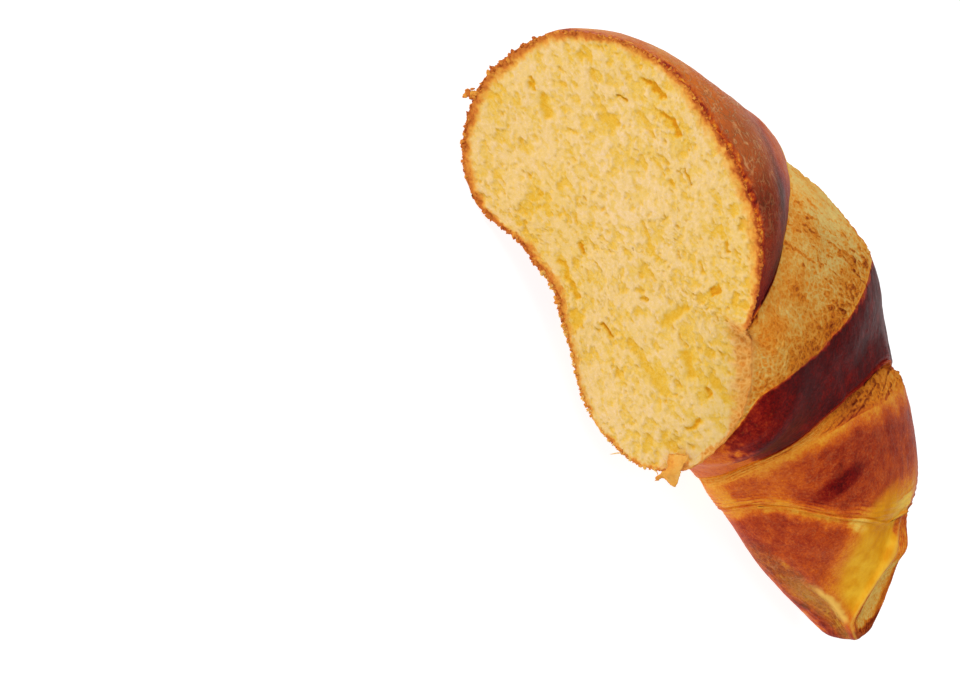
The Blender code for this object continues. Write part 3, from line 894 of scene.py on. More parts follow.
def tip_toast(at, toast, folds):
    """How baked the skin is, with the tip's folds and the painted shadow line at the flap."""
    toast = toast - 0.26 * folds["glow"]
    # The flap is darkened along its fold by painted shadow
    flap = TOAST["flap"] + 0.05 * at.soft + 0.5 * folds["flap_shadow"] + 0.3 * ease(at.right, 0.010, 0.014)
    toast = blend(toast, flap, folds["flap"])
    side = TOAST["side"] + 0.12 * at.fine + 0.12 * ease(at.inner, 100.0, 130.0)
    toast = blend(toast, side, folds["side"])
    toast = blend(toast, TOAST["knob"] + 0.08 * at.fine, fall(folds["knob"], 0.4, 1.3))
    toast = toast + 0.26 * hill(folds["knob"], 1.5, 0.35) * (at.inner > 70.0)
    toast = toast + 0.10 * folds["dark net"] - 0.12 * folds["pale net"] * ease(at.distance, 0.116, 0.128)
    return toast + folds["outside"] * (0.09 * at.fine - 0.18 * span(-at.left, 0.0080, 0.0105, 0.016, 0.026))


def skin_toast(at, folds, dark, lines):
    """How baked the skin is at each point: 0 is pale gold, 0.5 red-brown and 1 maroon."""
    toast = close_round(tip_toast(at, plain_toast(at), folds), at.inner)
    under = 0.8 * fall(at.points[..., 2], 0.0005, 0.0090)
    toast = blend(toast, TOAST["underside"] - 0.32 * hill(at.distance, 0.092, 0.013) + 0.05 * at.soft, under)
    by_end = ease(at.distance + 0.0006 * at.fine, at.end - 0.0016, at.end + 0.0002)
    toast = blend(toast, TOAST["blunt end"], by_end)
    toast = blend(toast, TOAST["rim"] + 0.30 * waves(at.points, 0.0009, 95, 3, 0.8), rim_share(at))
    # Painted shade darkens the pits and bubbles
    return np.clip(toast + 0.03 * at.fine + LINE_TOAST * lines + PAINTED_PIT_SHADE * dark, 0.0, 1.2)


def rim_share(at):
    """1 on the thin browned line of the skin along the cut."""
    return fall(at.distance + 0.0005 * at.fine, 0.0004, 0.0018)


def crumb_share(at, folds):
    """1 where crumb shows on the skin: where the cut runs into the torn joint, and in the tip's net."""
    bare = np.maximum(at.torn, fall(at.distance, at.first, at.first + 0.0005))
    share = fall(at.distance + 0.0012 * at.fine, 0.0, 0.0060) * bare
    share = share * span(at.inner, -26.0, -10.0, 32.0, 40.0) * fall(at.distance, at.ridge - 0.0016, at.ridge)
    net = 0.46 * folds["pale net"] * np.clip(0.8 + 0.5 * at.fine, 0.3, 1.3)
    return np.maximum(share, net * ease(at.distance + 0.0020 * at.fine, 0.118, 0.129))


def woolly_share(at, folds):
    """1 where the skin is a woolly net of strands."""
    share = at.torn * (0.55 + 0.45 * ease(at.distance, at.ridge - 0.030, at.ridge - 0.010))
    share = share * (1.0 - 0.5 * ease(at.inner, 95.0, 115.0))
    share = share + 0.45 * at.torn_second + 0.5 * folds["flap"] + folds["pale net"]
    return close_round(np.clip(share, 0.0, 1.0), at.inner)


def fibrous_share(at, folds):
    """1 where pale curly fibres lie on the crust."""
    along = np.clip(at.distance / at.first, 0.0, 1.0)
    share = 0.25 * ease(at.inner, 44.0, 80.0) + 0.75 * ease(at.inner, 88.0, 112.0)
    share = (at.distance < at.first) * share * (1.0 - 0.5 * ease(at.inner, 120.0, 150.0))
    share = share * ease(at.distance, 0.0004, 0.0024) * (1.0 - 0.90 * ease(along, 0.32, 0.66))
    share = np.maximum(share, 0.85 * folds["pale net"])
    plain = (1.0 - folds["tongue"]) * (1.0 - folds["flap"]) * (1.0 - spot_share(at))
    share = np.maximum(share, 0.10 * (at.distance > at.second_ridge) * plain)
    return share * ease(at.inner, -40.0, -10.0) * fall(at.distance, at.end - 0.012, at.end - 0.005)


def skin_marks(at, dark, lines):
    """The marks that the skin's colours follow: shares, and two places in millimetres."""
    folds = tip_folds(at)
    # In the painted shade under the lip the torn joint takes the crust's darker colours
    torn = at.torn * (1.0 - 0.8 * painted_lip_shade(at)) + at.torn_second + 0.6 * folds["flap"]
    return {
        "toast": skin_toast(at, folds, dark, lines),
        "torn": np.clip(torn, 0.0, 1.0),
        "woolly": woolly_share(at, folds),
        "fibrous": fibrous_share(at, folds),
        "along": at.distance * 1000.0,
        "around": np.unwrap(np.radians(at.inner), axis=1) * SECTION_MILLIMETRES,
        "butter": np.clip(folds["tongue"], 0.0, 1.0),
        "cream": np.clip(folds["lip"], 0.0, 1.0),
        "crumb": crumb_share(at, folds),
    }


def to_part(points):
    """Moves points from the middle of the cut to the part's own origin."""
    moved = points.copy()
    moved[..., 0] += SOLID_BOX[0][0] - RIM_LOWEST_X
    moved[..., 1] += SOLID_BOX[0][1]
    return moved


RIM_LOWEST_X = float(surface(0.0, np.arange(90) * 4.0)[:, 0].min())


def make_mesh(name, points, faces, normals=None, marks=None):
    """A new object from points and faces, with values kept at its points."""
    faces = np.asarray(faces, np.int32)
    if faces.size == 0 or not np.isfinite(points).all():
        raise RuntimeError(f"{name} has no faces, or a point without a place")
    mesh = bpy.data.meshes.new(name)
    mesh.vertices.add(len(points))
    mesh.vertices.foreach_set("co", points.astype(np.float32).ravel())
    mesh.loops.add(faces.size)
    mesh.loops.foreach_set("vertex_index", faces.ravel())
    mesh.polygons.add(len(faces))
    mesh.polygons.foreach_set("loop_start", np.arange(len(faces), dtype=np.int32) * faces.shape[1])
    mesh.polygons.foreach_set("loop_total", np.full(len(faces), faces.shape[1], np.int32))
    mesh.update(calc_edges=True)
    if mesh.validate():
        raise RuntimeError(f"the faces of {name} don't join up")
    mesh.shade_smooth()
    for mark, values in (marks or {}).items():
        layer = mesh.attributes.new(mark, "FLOAT", "POINT")
        layer.data.foreach_set("value", np.asarray(values, np.float32).ravel())
    if normals is not None:
        mesh.normals_split_custom_set_from_vertices(normals.reshape(-1, 3).astype(np.float32))
    piece = bpy.data.objects.new(name, mesh)
    bpy.context.collection.objects.link(piece)
    return piece


def finish_piece(piece, material):
    """Gives a piece its material and ties it to the part."""
    piece.data.materials.append(material)
    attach(piece, "root")
    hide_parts("brioche_half")
    return piece


def grid_faces(rows, around):
    """Faces of a grid of points that is closed along its second axis."""
    i, j = np.meshgrid(np.arange(rows - 1), np.arange(around), indexing="ij")
    k = (j + 1) % around
    faces = np.stack([i * around + j, i * around + k, (i + 1) * around + k, (i + 1) * around + j], -1)
    return faces.reshape(-1, 4)


def srgb(red, green, blue):
    """A colour given as on a screen, from 0 to 255, as the shader wants it."""
    parts = [c / 255.0 for c in (red, green, blue)]
    return tuple(c / 12.92 if c <= 0.04045 else ((c + 0.055) / 1.055) ** 2.4 for c in parts)


def new_group(name, inputs, output):
    """An empty shader node group with named value sockets, and its two end nodes."""
    tree = bpy.data.node_groups.new(name, "ShaderNodeTree")
    for label, value in inputs:
        socket = tree.interface.new_socket(label, in_out="INPUT", socket_type="NodeSocketFloat")
        socket.default_value = value
    tree.interface.new_socket(output, in_out="OUTPUT", socket_type="NodeSocketFloat")
    return tree, tree.nodes.new("NodeGroupInput"), tree.nodes.new("NodeGroupOutput")


def join(tree, pairs):
    """Links each pair of an output and an input."""
    for source, target in pairs:
        tree.links.new(source, target)


def grit_group():
    """Noise that swings about zero by an amount, for both the crust and the crumb."""
    if "grit" in bpy.data.node_groups:
        return bpy.data.node_groups["grit"]
    sockets = (("Grains per metre", 1000.0), ("Detail", 3.0), ("Roughness", 0.6), ("Amount", 0.3))
    tree, given, result = new_group("grit", sockets, "Swing")
    place = tree.nodes.new("ShaderNodeTexCoord")
    noise = tree.nodes.new("ShaderNodeTexNoise")
    middle = tree.nodes.new("ShaderNodeMath")
    middle.operation = "SUBTRACT"
    middle.inputs[1].default_value = 0.5
    times = tree.nodes.new("ShaderNodeMath")
    times.operation = "MULTIPLY"
    tree.links.new(place.outputs["Object"], noise.inputs["Vector"])
    for label, socket in (("Grains per metre", "Scale"), ("Detail", "Detail"), ("Roughness", "Roughness")):
        tree.links.new(given.outputs[label], noise.inputs[socket])
    join(tree, (
        (noise.outputs["Fac"], middle.inputs[0]),
        (middle.outputs["Value"], times.inputs[0]),
        (given.outputs["Amount"], times.inputs[1]),
        (times.outputs["Value"], result.inputs["Swing"]),
    ))
    return tree


def strand_group():
    """The strands of an uneven woolly net: 1 on a strand and 0 in its meshes."""
    if "woolly_strands" in bpy.data.node_groups:
        return bpy.data.node_groups["woolly_strands"]
    sockets = (("Meshes per metre", 600.0), ("Bend", 0.0008))
    tree, given, result = new_group("woolly_strands", sockets, "Strand")
    place = tree.nodes.new("ShaderNodeTexCoord")
    shake = tree.nodes.new("ShaderNodeTexNoise")
    shake.inputs["Detail"].default_value = 3.0
    bend = tree.nodes.new("ShaderNodeVectorMath")
    bend.operation = "SCALE"
    moved = tree.nodes.new("ShaderNodeVectorMath")
    net = tree.nodes.new("ShaderNodeTexVoronoi")
    net.feature = "DISTANCE_TO_EDGE"
    strand = tree.nodes.new("ShaderNodeMapRange")
    for label, value in (("From Min", 0.02), ("From Max", 0.23), ("To Min", 1.0), ("To Max", 0.0)):
        strand.inputs[label].default_value = value
    join(tree, (
        (given.outputs["Meshes per metre"], shake.inputs["Scale"]),
        (shake.outputs["Color"], bend.inputs[0]),
        (given.outputs["Bend"], bend.inputs["Scale"]),
        (place.outputs["Object"], moved.inputs[0]),
        (bend.outputs["Vector"], moved.inputs[1]),
        (moved.outputs["Vector"], net.inputs["Vector"]),
        (given.outputs["Meshes per metre"], net.inputs["Scale"]),
        (net.outputs["Distance"], strand.inputs["Value"]),
        (strand.outputs["Result"], result.inputs["Strand"]),
    ))
    return tree


class Shader:
    """A short way to build one material's nodes."""

    def __init__(self, name):
        self.material = bpy.data.materials.new(name)
        self.material.use_nodes = True
        self.tree = self.material.node_tree
        self.principled = self.tree.nodes["Principled BSDF"]

    def node(self, kind, **values):
        """A new node with some of its settings."""
        made = self.tree.nodes.new(kind)
        for key, value in values.items():
            setattr(made, key, value)
        return made

    def link(self, source, target):
        """Feeds an output into an input."""
        self.tree.links.new(source, target)

    def mark(self, name):
        """A value that the mesh keeps at its points."""
        return self.node("ShaderNodeAttribute", attribute_name=name).outputs["Fac"]

    def noise(self, size, detail=3.0, rough=0.6, stretch=(1.0, 1.0, 1.0)):
        """Soft noise from 0 to 1 whose bumps measure about size."""
        made = self.node("ShaderNodeTexNoise")
        made.inputs["Scale"].default_value = 1.0 / size
        made.inputs["Detail"].default_value = detail
        made.inputs["Roughness"].default_value = rough
        place = self.node("ShaderNodeTexCoord")
        turn = self.node("ShaderNodeMapping")
        turn.inputs["Scale"].default_value = stretch
        self.link(place.outputs["Object"], turn.inputs["Vector"])
        self.link(turn.outputs["Vector"], made.inputs["Vector"])
        return made.outputs["Fac"]

    def grit(self, size, detail, rough, amount):
        """Noise of a grain size that swings about zero by an amount."""
        made = self.node("ShaderNodeGroup", node_tree=grit_group())
        values = {"Grains per metre": 1.0 / size, "Detail": detail, "Roughness": rough, "Amount": amount}
        for label, value in values.items():
            made.inputs[label].default_value = value
        return made.outputs["Swing"]

    def strands(self, size, bend=0.5):
        """1 on the strands of an uneven net with meshes of a size."""
        made = self.node("ShaderNodeGroup", node_tree=strand_group())
        made.inputs["Meshes per metre"].default_value = 1.0 / size
        made.inputs["Bend"].default_value = size * bend
        return made.outputs["Strand"]

    def fibres(self, long, wide, thick, seed):
        """Thin curly fibres round the leg: their spacing is wide and their bends long, in millimetres."""
        place = self.node("ShaderNodeCombineXYZ")
        self.link(self.math("DIVIDE", self.mark("around"), long), place.inputs["X"])
        self.link(self.math("DIVIDE", self.mark("along"), wide), place.inputs["Y"])
        place.inputs["Z"].default_value = seed
        made = self.node("ShaderNodeTexNoise")
        made.inputs["Scale"].default_value = 1.0
        made.inputs["Detail"].default_value = 1.5
        made.inputs["Distortion"].default_value = 1.6
        self.link(place.outputs["Vector"], made.inputs["Vector"])
        away = self.math("ABSOLUTE", self.math("SUBTRACT", made.outputs["Fac"], 0.5))
        return self.ramp(away, ((0.0, 1.0), (thick, 0.0)))

    def ramp(self, value, stops):
        """Colours or shades between stops, each with its place from 0 to 1."""
        made = self.node("ShaderNodeValToRGB")
        steps = made.color_ramp.elements
        while len(steps) < len(stops):
            steps.new(0.5)
        # The places are set twice, because a step that moves past another takes its number
        for step, (place, colour) in zip(steps, stops):
            step.position = place
        for step, (place, colour) in zip(steps, stops):
            step.position = place
            step.color = (*colour, 1.0) if isinstance(colour, tuple) else (colour, colour, colour, 1.0)
        self.link(value, made.inputs["Fac"])
        return made.outputs["Color"]

    def math(self, kind, first, second=0.0, clamp=False):
        """A sum, product or the like of two sockets or numbers."""
        made = self.node("ShaderNodeMath", operation=kind, use_clamp=clamp)
        for socket, value in zip(made.inputs, (first, second)):
            if isinstance(value, (int, float)):
                socket.default_value = value
            else:
                self.link(value, socket)
        return made.outputs["Value"]

    def around(self, value, amount):
        """Noise moved to swing about zero, times an amount."""
        return self.math("MULTIPLY", self.math("SUBTRACT", value, 0.5), amount)

    def mix(self, share, first, second, blend="MIX"):
        """The first colour, turned into the second by a share."""
        made = self.node("ShaderNodeMix", data_type="RGBA", blend_type=blend)
        for socket, value in ((made.inputs[0], share), (made.inputs[6], first), (made.inputs[7], second)):
            if isinstance(value, (int, float)):
                socket.default_value = value
            elif isinstance(value, tuple):
                socket.default_value = (*value, 1.0)
            else:
                self.link(value, socket)
        return made.outputs[2]

    def bump(self, height, distance, strength=1.0):
        """Gives the surface a fine relief."""
        made = self.node("ShaderNodeBump")
        made.inputs["Distance"].default_value = distance
        made.inputs["Strength"].default_value = strength
        self.link(height, made.inputs["Height"])
        self.link(made.outputs["Normal"], self.principled.inputs["Normal"])


def crust_material(colours):
    """Baked skin: golden where it is pale, maroon where it is dark, woolly where torn."""
    s = Shader("baked_crust")
    toast, torn, woolly = s.mark("toast"), s.mark("torn"), s.mark("woolly")
    mottle = s.grit(0.0040, 5.0, 0.65, 0.26)
    speck = s.grit(0.0006, 4.0, 0.85, 0.68)
    strand = s.math("MAXIMUM", s.strands(0.0017), s.math("MULTIPLY", s.strands(0.0009), 0.7))
    wool = s.math("MULTIPLY", woolly, s.math("SUBTRACT", 0.13, s.math("MULTIPLY", strand, 0.30)))
    hair = s.math("MAXIMUM", s.fibres(4.2, 4.6, 0.040, 3.0), s.fibres(2.4, 3.0, 0.040, 9.0))
    broken = s.ramp(s.noise(0.0026, 2.0, 0.6), ((0.38, 0.10), (0.54, 1.0)))
    hair = s.math("MULTIPLY", s.math("MULTIPLY", hair, broken), s.mark("fibrous"))
    shade = s.math("ADD", s.math("ADD", toast, mottle), s.math("ADD", speck, wool))
    # Pale specks that stand for glints of the glossy crust: painted highlights, fewer on darker crust
    painted_glint = s.ramp(s.noise(0.00055, 1.0, 0.5), ((0.60, 0.0), (0.70, 1.0)))
    baked = s.ramp(shade, (
        (0.00, tuple(colours.pale_crust)),
        (0.22, srgb(240, 158, 40)),
        (0.40, srgb(222, 106, 24)),
        (0.56, srgb(192, 72, 22)),
        (0.70, srgb(162, 46, 20)),
        (0.85, tuple(colours.dark_crust)),
        (1.00, srgb(68, 8, 10)),
    ))
    fibre = s.ramp(shade, (
        (0.00, srgb(252, 216, 128)),
        (0.16, srgb(252, 184, 80)),
        (0.34, srgb(246, 145, 36)),
        (0.54, srgb(208, 108, 34)),
        (0.78, srgb(142, 56, 18)),
        (1.00, srgb(92, 30, 12)),
    ))
    colour = s.mix(torn, baked, fibre)
    colour = s.mix(s.math("MULTIPLY", s.mark("fibrous"), 0.42), colour, srgb(218, 130, 60))
    colour = s.mix(s.math("MULTIPLY", hair, 0.70), colour, srgb(240, 178, 118))
    fewer = s.math("SUBTRACT", 0.40, s.math("MULTIPLY", toast, 0.42), clamp=True)
    colour = s.mix(s.math("MULTIPLY", painted_glint, fewer), colour, srgb(246, 158, 82))
    lower = s.math("MULTIPLY", s.math("SUBTRACT", s.mark("along"), 121.0), 0.014)
    butter = s.ramp(s.math("ADD", s.noise(0.0045, 4.0, 0.6), lower), (
        (0.30, srgb(226, 142, 16)),
        (0.50, tuple(colours.patch)),
        (0.70, srgb(252, 194, 50)),
    ))
    colour = s.mix(s.mark("butter"), colour, butter)
    colour = s.mix(s.mark("cream"), colour, srgb(248, 192, 84))
    crumb = s.ramp(s.noise(0.0010, 4.0, 0.8), (
        (0.30, srgb(238, 150, 62)),
        (0.70, srgb(254, 194, 104)),
    ))
    colour = s.mix(s.mark("crumb"), colour, crumb)
    s.link(colour, s.principled.inputs["Base Color"])
    soft = s.math("MAXIMUM", torn, s.mark("crumb"))
    rough = s.math("ADD", s.math("MULTIPLY", soft, 0.45), s.math("ADD", 0.40, s.grit(0.0030, 3.0, 0.6, 0.25)))
    s.link(rough, s.principled.inputs["Roughness"])
    s.principled.inputs["IOR"].default_value = 1.20
    s.principled.inputs["Specular IOR Level"].default_value = 0.22
    wool_height = s.math("MULTIPLY", s.math("MULTIPLY", strand, woolly), 1.6)
    fluff = s.math("ADD", s.noise(0.0007, 4.0, 0.75), wool_height)
    s.bump(s.math("ADD", fluff, s.math("MULTIPLY", hair, 2.0)), 0.00020, 0.8)
    return s.material


def crumb_material(colours):
    """Open yellow crumb with deeper gold in its pores, partly painted shade of their hollows, and a browned
    rim.
    """
    s = Shader("open_crumb")
    mottle = s.around(s.noise(0.0022, 5.0, 0.85, (0.6, 1.0, 1.0)), 0.70)
    grain = s.grit(0.0006, 4.0, 0.9, 1.00)
    # The pore mark deepens the gold, partly as painted shade in the hollows
    shade = s.math("ADD", s.math("ADD", s.mark("pore"), mottle), s.math("ADD", grain, 0.22))
    base = s.ramp(shade, (
        (0.00, srgb(250, 214, 166)),
        (0.20, srgb(245, 206, 134)),
        (0.42, tuple(colours.crumb)),
        (0.62, srgb(240, 190, 66)),
        (0.82, srgb(234, 174, 40)),
        (1.00, srgb(226, 150, 26)),
    ))
    rim = s.math("ADD", s.mark("rim"), s.grit(0.0008, 4.0, 0.9, 0.75), clamp=True)
    browned = s.ramp(rim, (
        (0.00, srgb(246, 196, 98)),
        (0.30, srgb(240, 168, 66)),
        (0.55, srgb(222, 132, 52)),
        (0.80, srgb(186, 88, 34)),
        (1.00, srgb(130, 52, 22)),
    ))
    share = s.ramp(s.mark("rim"), ((0.0, 0.0), (0.18, 0.8), (0.4, 1.0)))
    woolly = s.ramp(s.math("ADD", s.noise(0.0010, 4.0, 0.85), s.math("MULTIPLY", s.strands(0.0012), 0.22)), (
        (0.30, srgb(206, 118, 38)),
        (0.52, srgb(236, 156, 64)),
        (0.80, srgb(248, 190, 104)),
    ))
    colour = s.mix(s.mark("joint"), s.mix(share, base, browned), woolly)
    s.link(colour, s.principled.inputs["Base Color"])
    s.principled.inputs["Roughness"].default_value = 0.85
    s.principled.inputs["Specular IOR Level"].default_value = 0.08
    s.bump(s.noise(0.0005, 4.0, 0.8), 0.00014, 0.8)
    return s.material


def outline_turns(steps=2048):
    """Shares of the way round the cut's outline, by length, and their degrees."""
    degrees = np.arange(steps + 1) * 360.0 / steps
    rim = surface(np.zeros_like(degrees), degrees)
    length = np.concatenate([[0.0], np.cumsum(np.linalg.norm(np.diff(rim, axis=0), axis=1))])
    return length / length[-1], degrees, length[-1]


def zip_rings(first, second, start_first, start_second):
    """Triangles that join two rings, given as sorted shares of a turn."""
    faces = []
    i, j, count_i, count_j = 0, 0, len(first), len(second)
    while i < count_i or j < count_j:
        next_i = first[i + 1] if i + 1 < count_i else first[0] + 1.0
        next_j = second[j + 1] if j + 1 < count_j else second[0] + 1.0
        a, b = start_first + i % count_i, start_second + j % count_j
        if j >= count_j or (i < count_i and next_i <= next_j):
            faces.append((a, b, start_first + (i + 1) % count_i))
            i += 1
        else:
            faces.append((a, b, start_second + (j + 1) % count_j))
            j += 1
    return faces


def crumb_relief(x, z):
    """How deep the pores of the crumb sink, and how golden they are over the cut face, partly as painted
    shade in their hollows.
    """
    flat = np.stack([x, z], -1)
    long = np.stack([x * 0.62 + z * 0.22, z * 0.96 - x * 0.24], -1)
    thick = ease(waves(flat, 0.016, 55, 2), -0.6, 0.7)
    sink, gold_and_shade = np.zeros_like(x), np.zeros_like(x)
    for size, seed, least, depth, colour in CRUMB_PORES:
        torn_open = ease(waves(long, size, seed, 4, 0.62) + 0.25 * thick, least, least + 0.55)
        sink = np.maximum(sink, depth * torn_open)
        gold_and_shade = np.maximum(gold_and_shade, colour * torn_open)
    bent = shaken(flat, 0.0005, 0.0020, (61, 65))
    for start_x, start_z, end_x, end_z, wide, depth in CRUMB_HOLES:
        start, run = np.array([start_x, start_z]), np.array([end_x - start_x, end_z - start_z])
        share = np.clip((bent - start) @ run / (run @ run), 0.0, 1.0)
        away = np.linalg.norm(bent - start - share[..., None] * run, axis=-1)
        hole = fall(away, 0.10 * wide, 0.72 * wide)
        sink = np.maximum(sink, HOLE_DEPTH * depth * hole)
        gold_and_shade = np.maximum(gold_and_shade, HOLE_GOLD * depth * hole)
    sink = sink + 0.00010 * waves(long, 0.0009, 51, 3, 0.85) + 0.0003 * waves(flat, 0.013, 57, 2)
    gold_and_shade = gold_and_shade + 0.06 * waves(flat, 0.020, 59, 2)
    return sink, gold_and_shade


def crumb_rings():
    """Rings of points over the cut face: their degrees, their share of the way out and the faces."""
    shares, angles, length = outline_turns()
    rim_degrees = np.sort(skin_angles())
    rings = int(CRUMB_REACH / CRUMB_SPACING)
    turns, degrees, share_of = [], [], []
    for ring in range(1, rings + 1):
        share = ring / rings
        count = max(8, int(round(length * share / CRUMB_SPACING)))
        turn = (np.arange(count) + 0.5 * (ring % 2)) / count
        if ring == rings:
            turn = np.interp(rim_degrees, angles, shares)
        turns.append(turn)
        degrees.append(np.interp(turn, shares, angles) if ring < rings else rim_degrees)
        share_of.append(np.full(len(turn), share))
    starts = [0]
    for turn in turns:
        starts.append(starts[-1] + len(turn))
    faces = []
    for k in range(rings - 1):
        faces += zip_rings(turns[k], turns[k + 1], starts[k], starts[k + 1])
    first = len(turns[0])
    faces += [(starts[-1], (i + 1) % first, i) for i in range(first)]
    return np.concatenate(degrees), np.concatenate(share_of), np.array(faces)[:, ::-1]


def crumb_marks(x, z, degrees, gap):
    """How browned the crumb is by the rim, and where it runs into the torn joint."""
    flat = np.stack([x, z], -1)
    inner = signed(degrees)
    uneven = gap + 0.00050 * waves(flat, 0.0016, 91, 3, 0.8)
    top = ease(inner, 38.0, 66.0) * fall(degrees, 125.0, 190.0)
    gritty = span(degrees, 150.0, 185.0, 300.0, 335.0)
    brown = np.clip(1.25 - uneven / (0.0011 + 0.0011 * gritty), 0.0, 1.0)
    brown = brown * (0.66 - 0.30 * ease(degrees, 270.0, 320.0))
    glow = 0.60 * np.clip(1.0 - uneven / (0.0012 + 0.0022 * top), 0.0, 1.0) ** 1.2
    glow = glow + 0.30 * top * np.clip(1.0 - uneven / 0.0014, 0.0, 1.0)
    bare = span(inner, -24.0, -8.0, 30.0, 38.0)
    wide = 0.0046 * ease(inner, 0.0, 13.0) + 0.0006
    joint = bare * fall(gap + 0.0009 * waves(flat, 0.0021, 93, 3, 0.8), 0.35 * wide, 1.25 * wide)
    return np.maximum(brown, glow) * (1.0 - bare), joint


class BriocheSizes(bpy.types.PropertyGroup):
    """Sizes and light that a user may change."""

    crumb_depth: bpy.props.FloatProperty(
        name="Crumb depth", description="Depth of the crumb's bubbles, where 1 is as built",
        default=1.0, min=0.0, max=2.0, subtype="FACTOR")
    pit_depth: bpy.props.FloatProperty(
        name="Pit depth", description="Depth of the pits in the torn joint",
        default=PIT_DEPTH, min=0.0, max=0.0015, precision=5, subtype="DISTANCE", unit="LENGTH")
    flap_thickness: bpy.props.FloatProperty(
        name="Flap thickness", description="Thickness of the torn flap at the cut's lower end",
        default=FLAP_THICKNESS, min=0.0002, max=0.002, precision=5, subtype="DISTANCE", unit="LENGTH")
    key_power: bpy.props.FloatProperty(
        name="Key light", description="Power of the main lamp",
        default=KEY_POWER, min=0.0, max=60.0, subtype="POWER", unit="POWER")


class BriocheColours(bpy.types.PropertyGroup):
    """Colours that a user may change."""

    pale_crust: bpy.props.FloatVectorProperty(
        name="Pale crust", description="Colour of the least baked skin",
        default=srgb(252, 208, 92), min=0.0, max=1.0, size=3, subtype="COLOR")
    dark_crust: bpy.props.FloatVectorProperty(
        name="Dark crust", description="Colour of the well baked skin",
        default=srgb(124, 16, 12), min=0.0, max=1.0, size=3, subtype="COLOR")
    patch: bpy.props.FloatVectorProperty(
        name="Buttery patch", description="Colour of the smooth patch on the tip",
        default=srgb(240, 166, 26), min=0.0, max=1.0, size=3, subtype="COLOR")
    crumb: bpy.props.FloatVectorProperty(
        name="Crumb", description="Main colour of the open crumb",
        default=srgb(242, 200, 104), min=0.0, max=1.0, size=3, subtype="COLOR")


class BRIOCHE_OT_skin(bpy.types.Operator):
    """Model the baked skin of the leg, piece by piece"""

    bl_idname = "brioche.skin"
    bl_label = "Baked skin"

    def execute(self, context):
        points, marks, ends = skin_grid(context.scene.brioche.pit_depth)
        points = to_part(points)
        normals = grid_normals(points)
        material = crust_material(context.scene.brioche_colours)
        rows, around = points.shape[:2]
        end_point = to_part(tip_ring(1.0, 0.0, np.zeros(1)))
        start = 0
        for (name, stretches), end in zip(SKIN_PIECES, ends):
            part = slice(start, end + 1)
            count = end + 1 - start
            faces = grid_faces(count, around)
            corners, turned = points[part].reshape(-1, 3), normals[part].reshape(-1, 3)
            values = {mark: value[part].ravel() for mark, value in marks.items()}
            if end == ends[-1]:
                last = (count - 1) * around
                faces = np.concatenate([split_quads(faces), lid_faces(last, around, len(corners))])
                corners = np.concatenate([corners, end_point])
                turned = np.concatenate([turned, turned[last:last + around].mean(0, keepdims=True)])
                values = {mark: np.append(value, value[-1]) for mark, value in values.items()}
            finish_piece(make_mesh(name, corners, faces, turned, values), material)
            start = end
        return {"FINISHED"}


def split_quads(faces):
    """Two triangles for each four-sided face."""
    return np.concatenate([faces[:, [0, 1, 2]], faces[:, [0, 2, 3]]])


def lid_faces(first, around, middle):
    """Triangles from the ring of points that begins with the first one to a point in its middle."""
    j = np.arange(around)
    return np.stack([first + j, first + (j + 1) % around, np.full(around, middle)], -1)


class BRIOCHE_OT_crumb(bpy.types.Operator):
    """Model the open crumb of the cut face"""

    bl_idname = "brioche.crumb"
    bl_label = "Crumb face"

    def execute(self, context):
        degrees, share, faces = crumb_rings()
        rim = surface(np.zeros_like(degrees), degrees)
        x = CENTRE_X + (rim[:, 0] - CENTRE_X) * share
        z = CUT_CENTRE_Z + (rim[:, 2] - CUT_CENTRE_Z) * share
        gap = np.hypot(rim[:, 0] - CENTRE_X, rim[:, 2] - CUT_CENTRE_Z) * (1.0 - share)
        sink, gold_and_shade = crumb_relief(x, z)
        keep = ease(gap, 0.0001, 0.0014)
        y = rim[:, 1] * share ** ROUND_OVER_POWER + sink * keep * context.scene.brioche.crumb_depth
        points = np.stack([x, y, z], -1) + ragged(np.stack([x, rim[:, 1], z], -1), gap)
        points = np.concatenate([points, [[CENTRE_X, 0.0, CUT_CENTRE_Z]]])
        browned, joint = crumb_marks(x, z, degrees, gap)
        marks = {"pore": gold_and_shade * keep, "rim": browned, "joint": joint}
        marks = {name: np.append(values, 0.0) for name, values in marks.items()}
        piece = make_mesh("crumb_face", to_part(points), faces, None, marks)
        finish_piece(piece, crumb_material(context.scene.brioche_colours))
        return {"FINISHED"}


def ball(level):
    """Points and faces of a small ball that loose crumbs are shaped from."""
    bpy.ops.object.select_all(action="DESELECT")
    bpy.ops.mesh.primitive_ico_sphere_add(subdivisions=level, radius=1.0)
    made = bpy.context.object
    points = np.array([corner.co[:] for corner in made.data.vertices])
    faces = np.array([face.vertices[:] for face in made.data.polygons])
    bpy.data.objects.remove(made)
    return points, faces


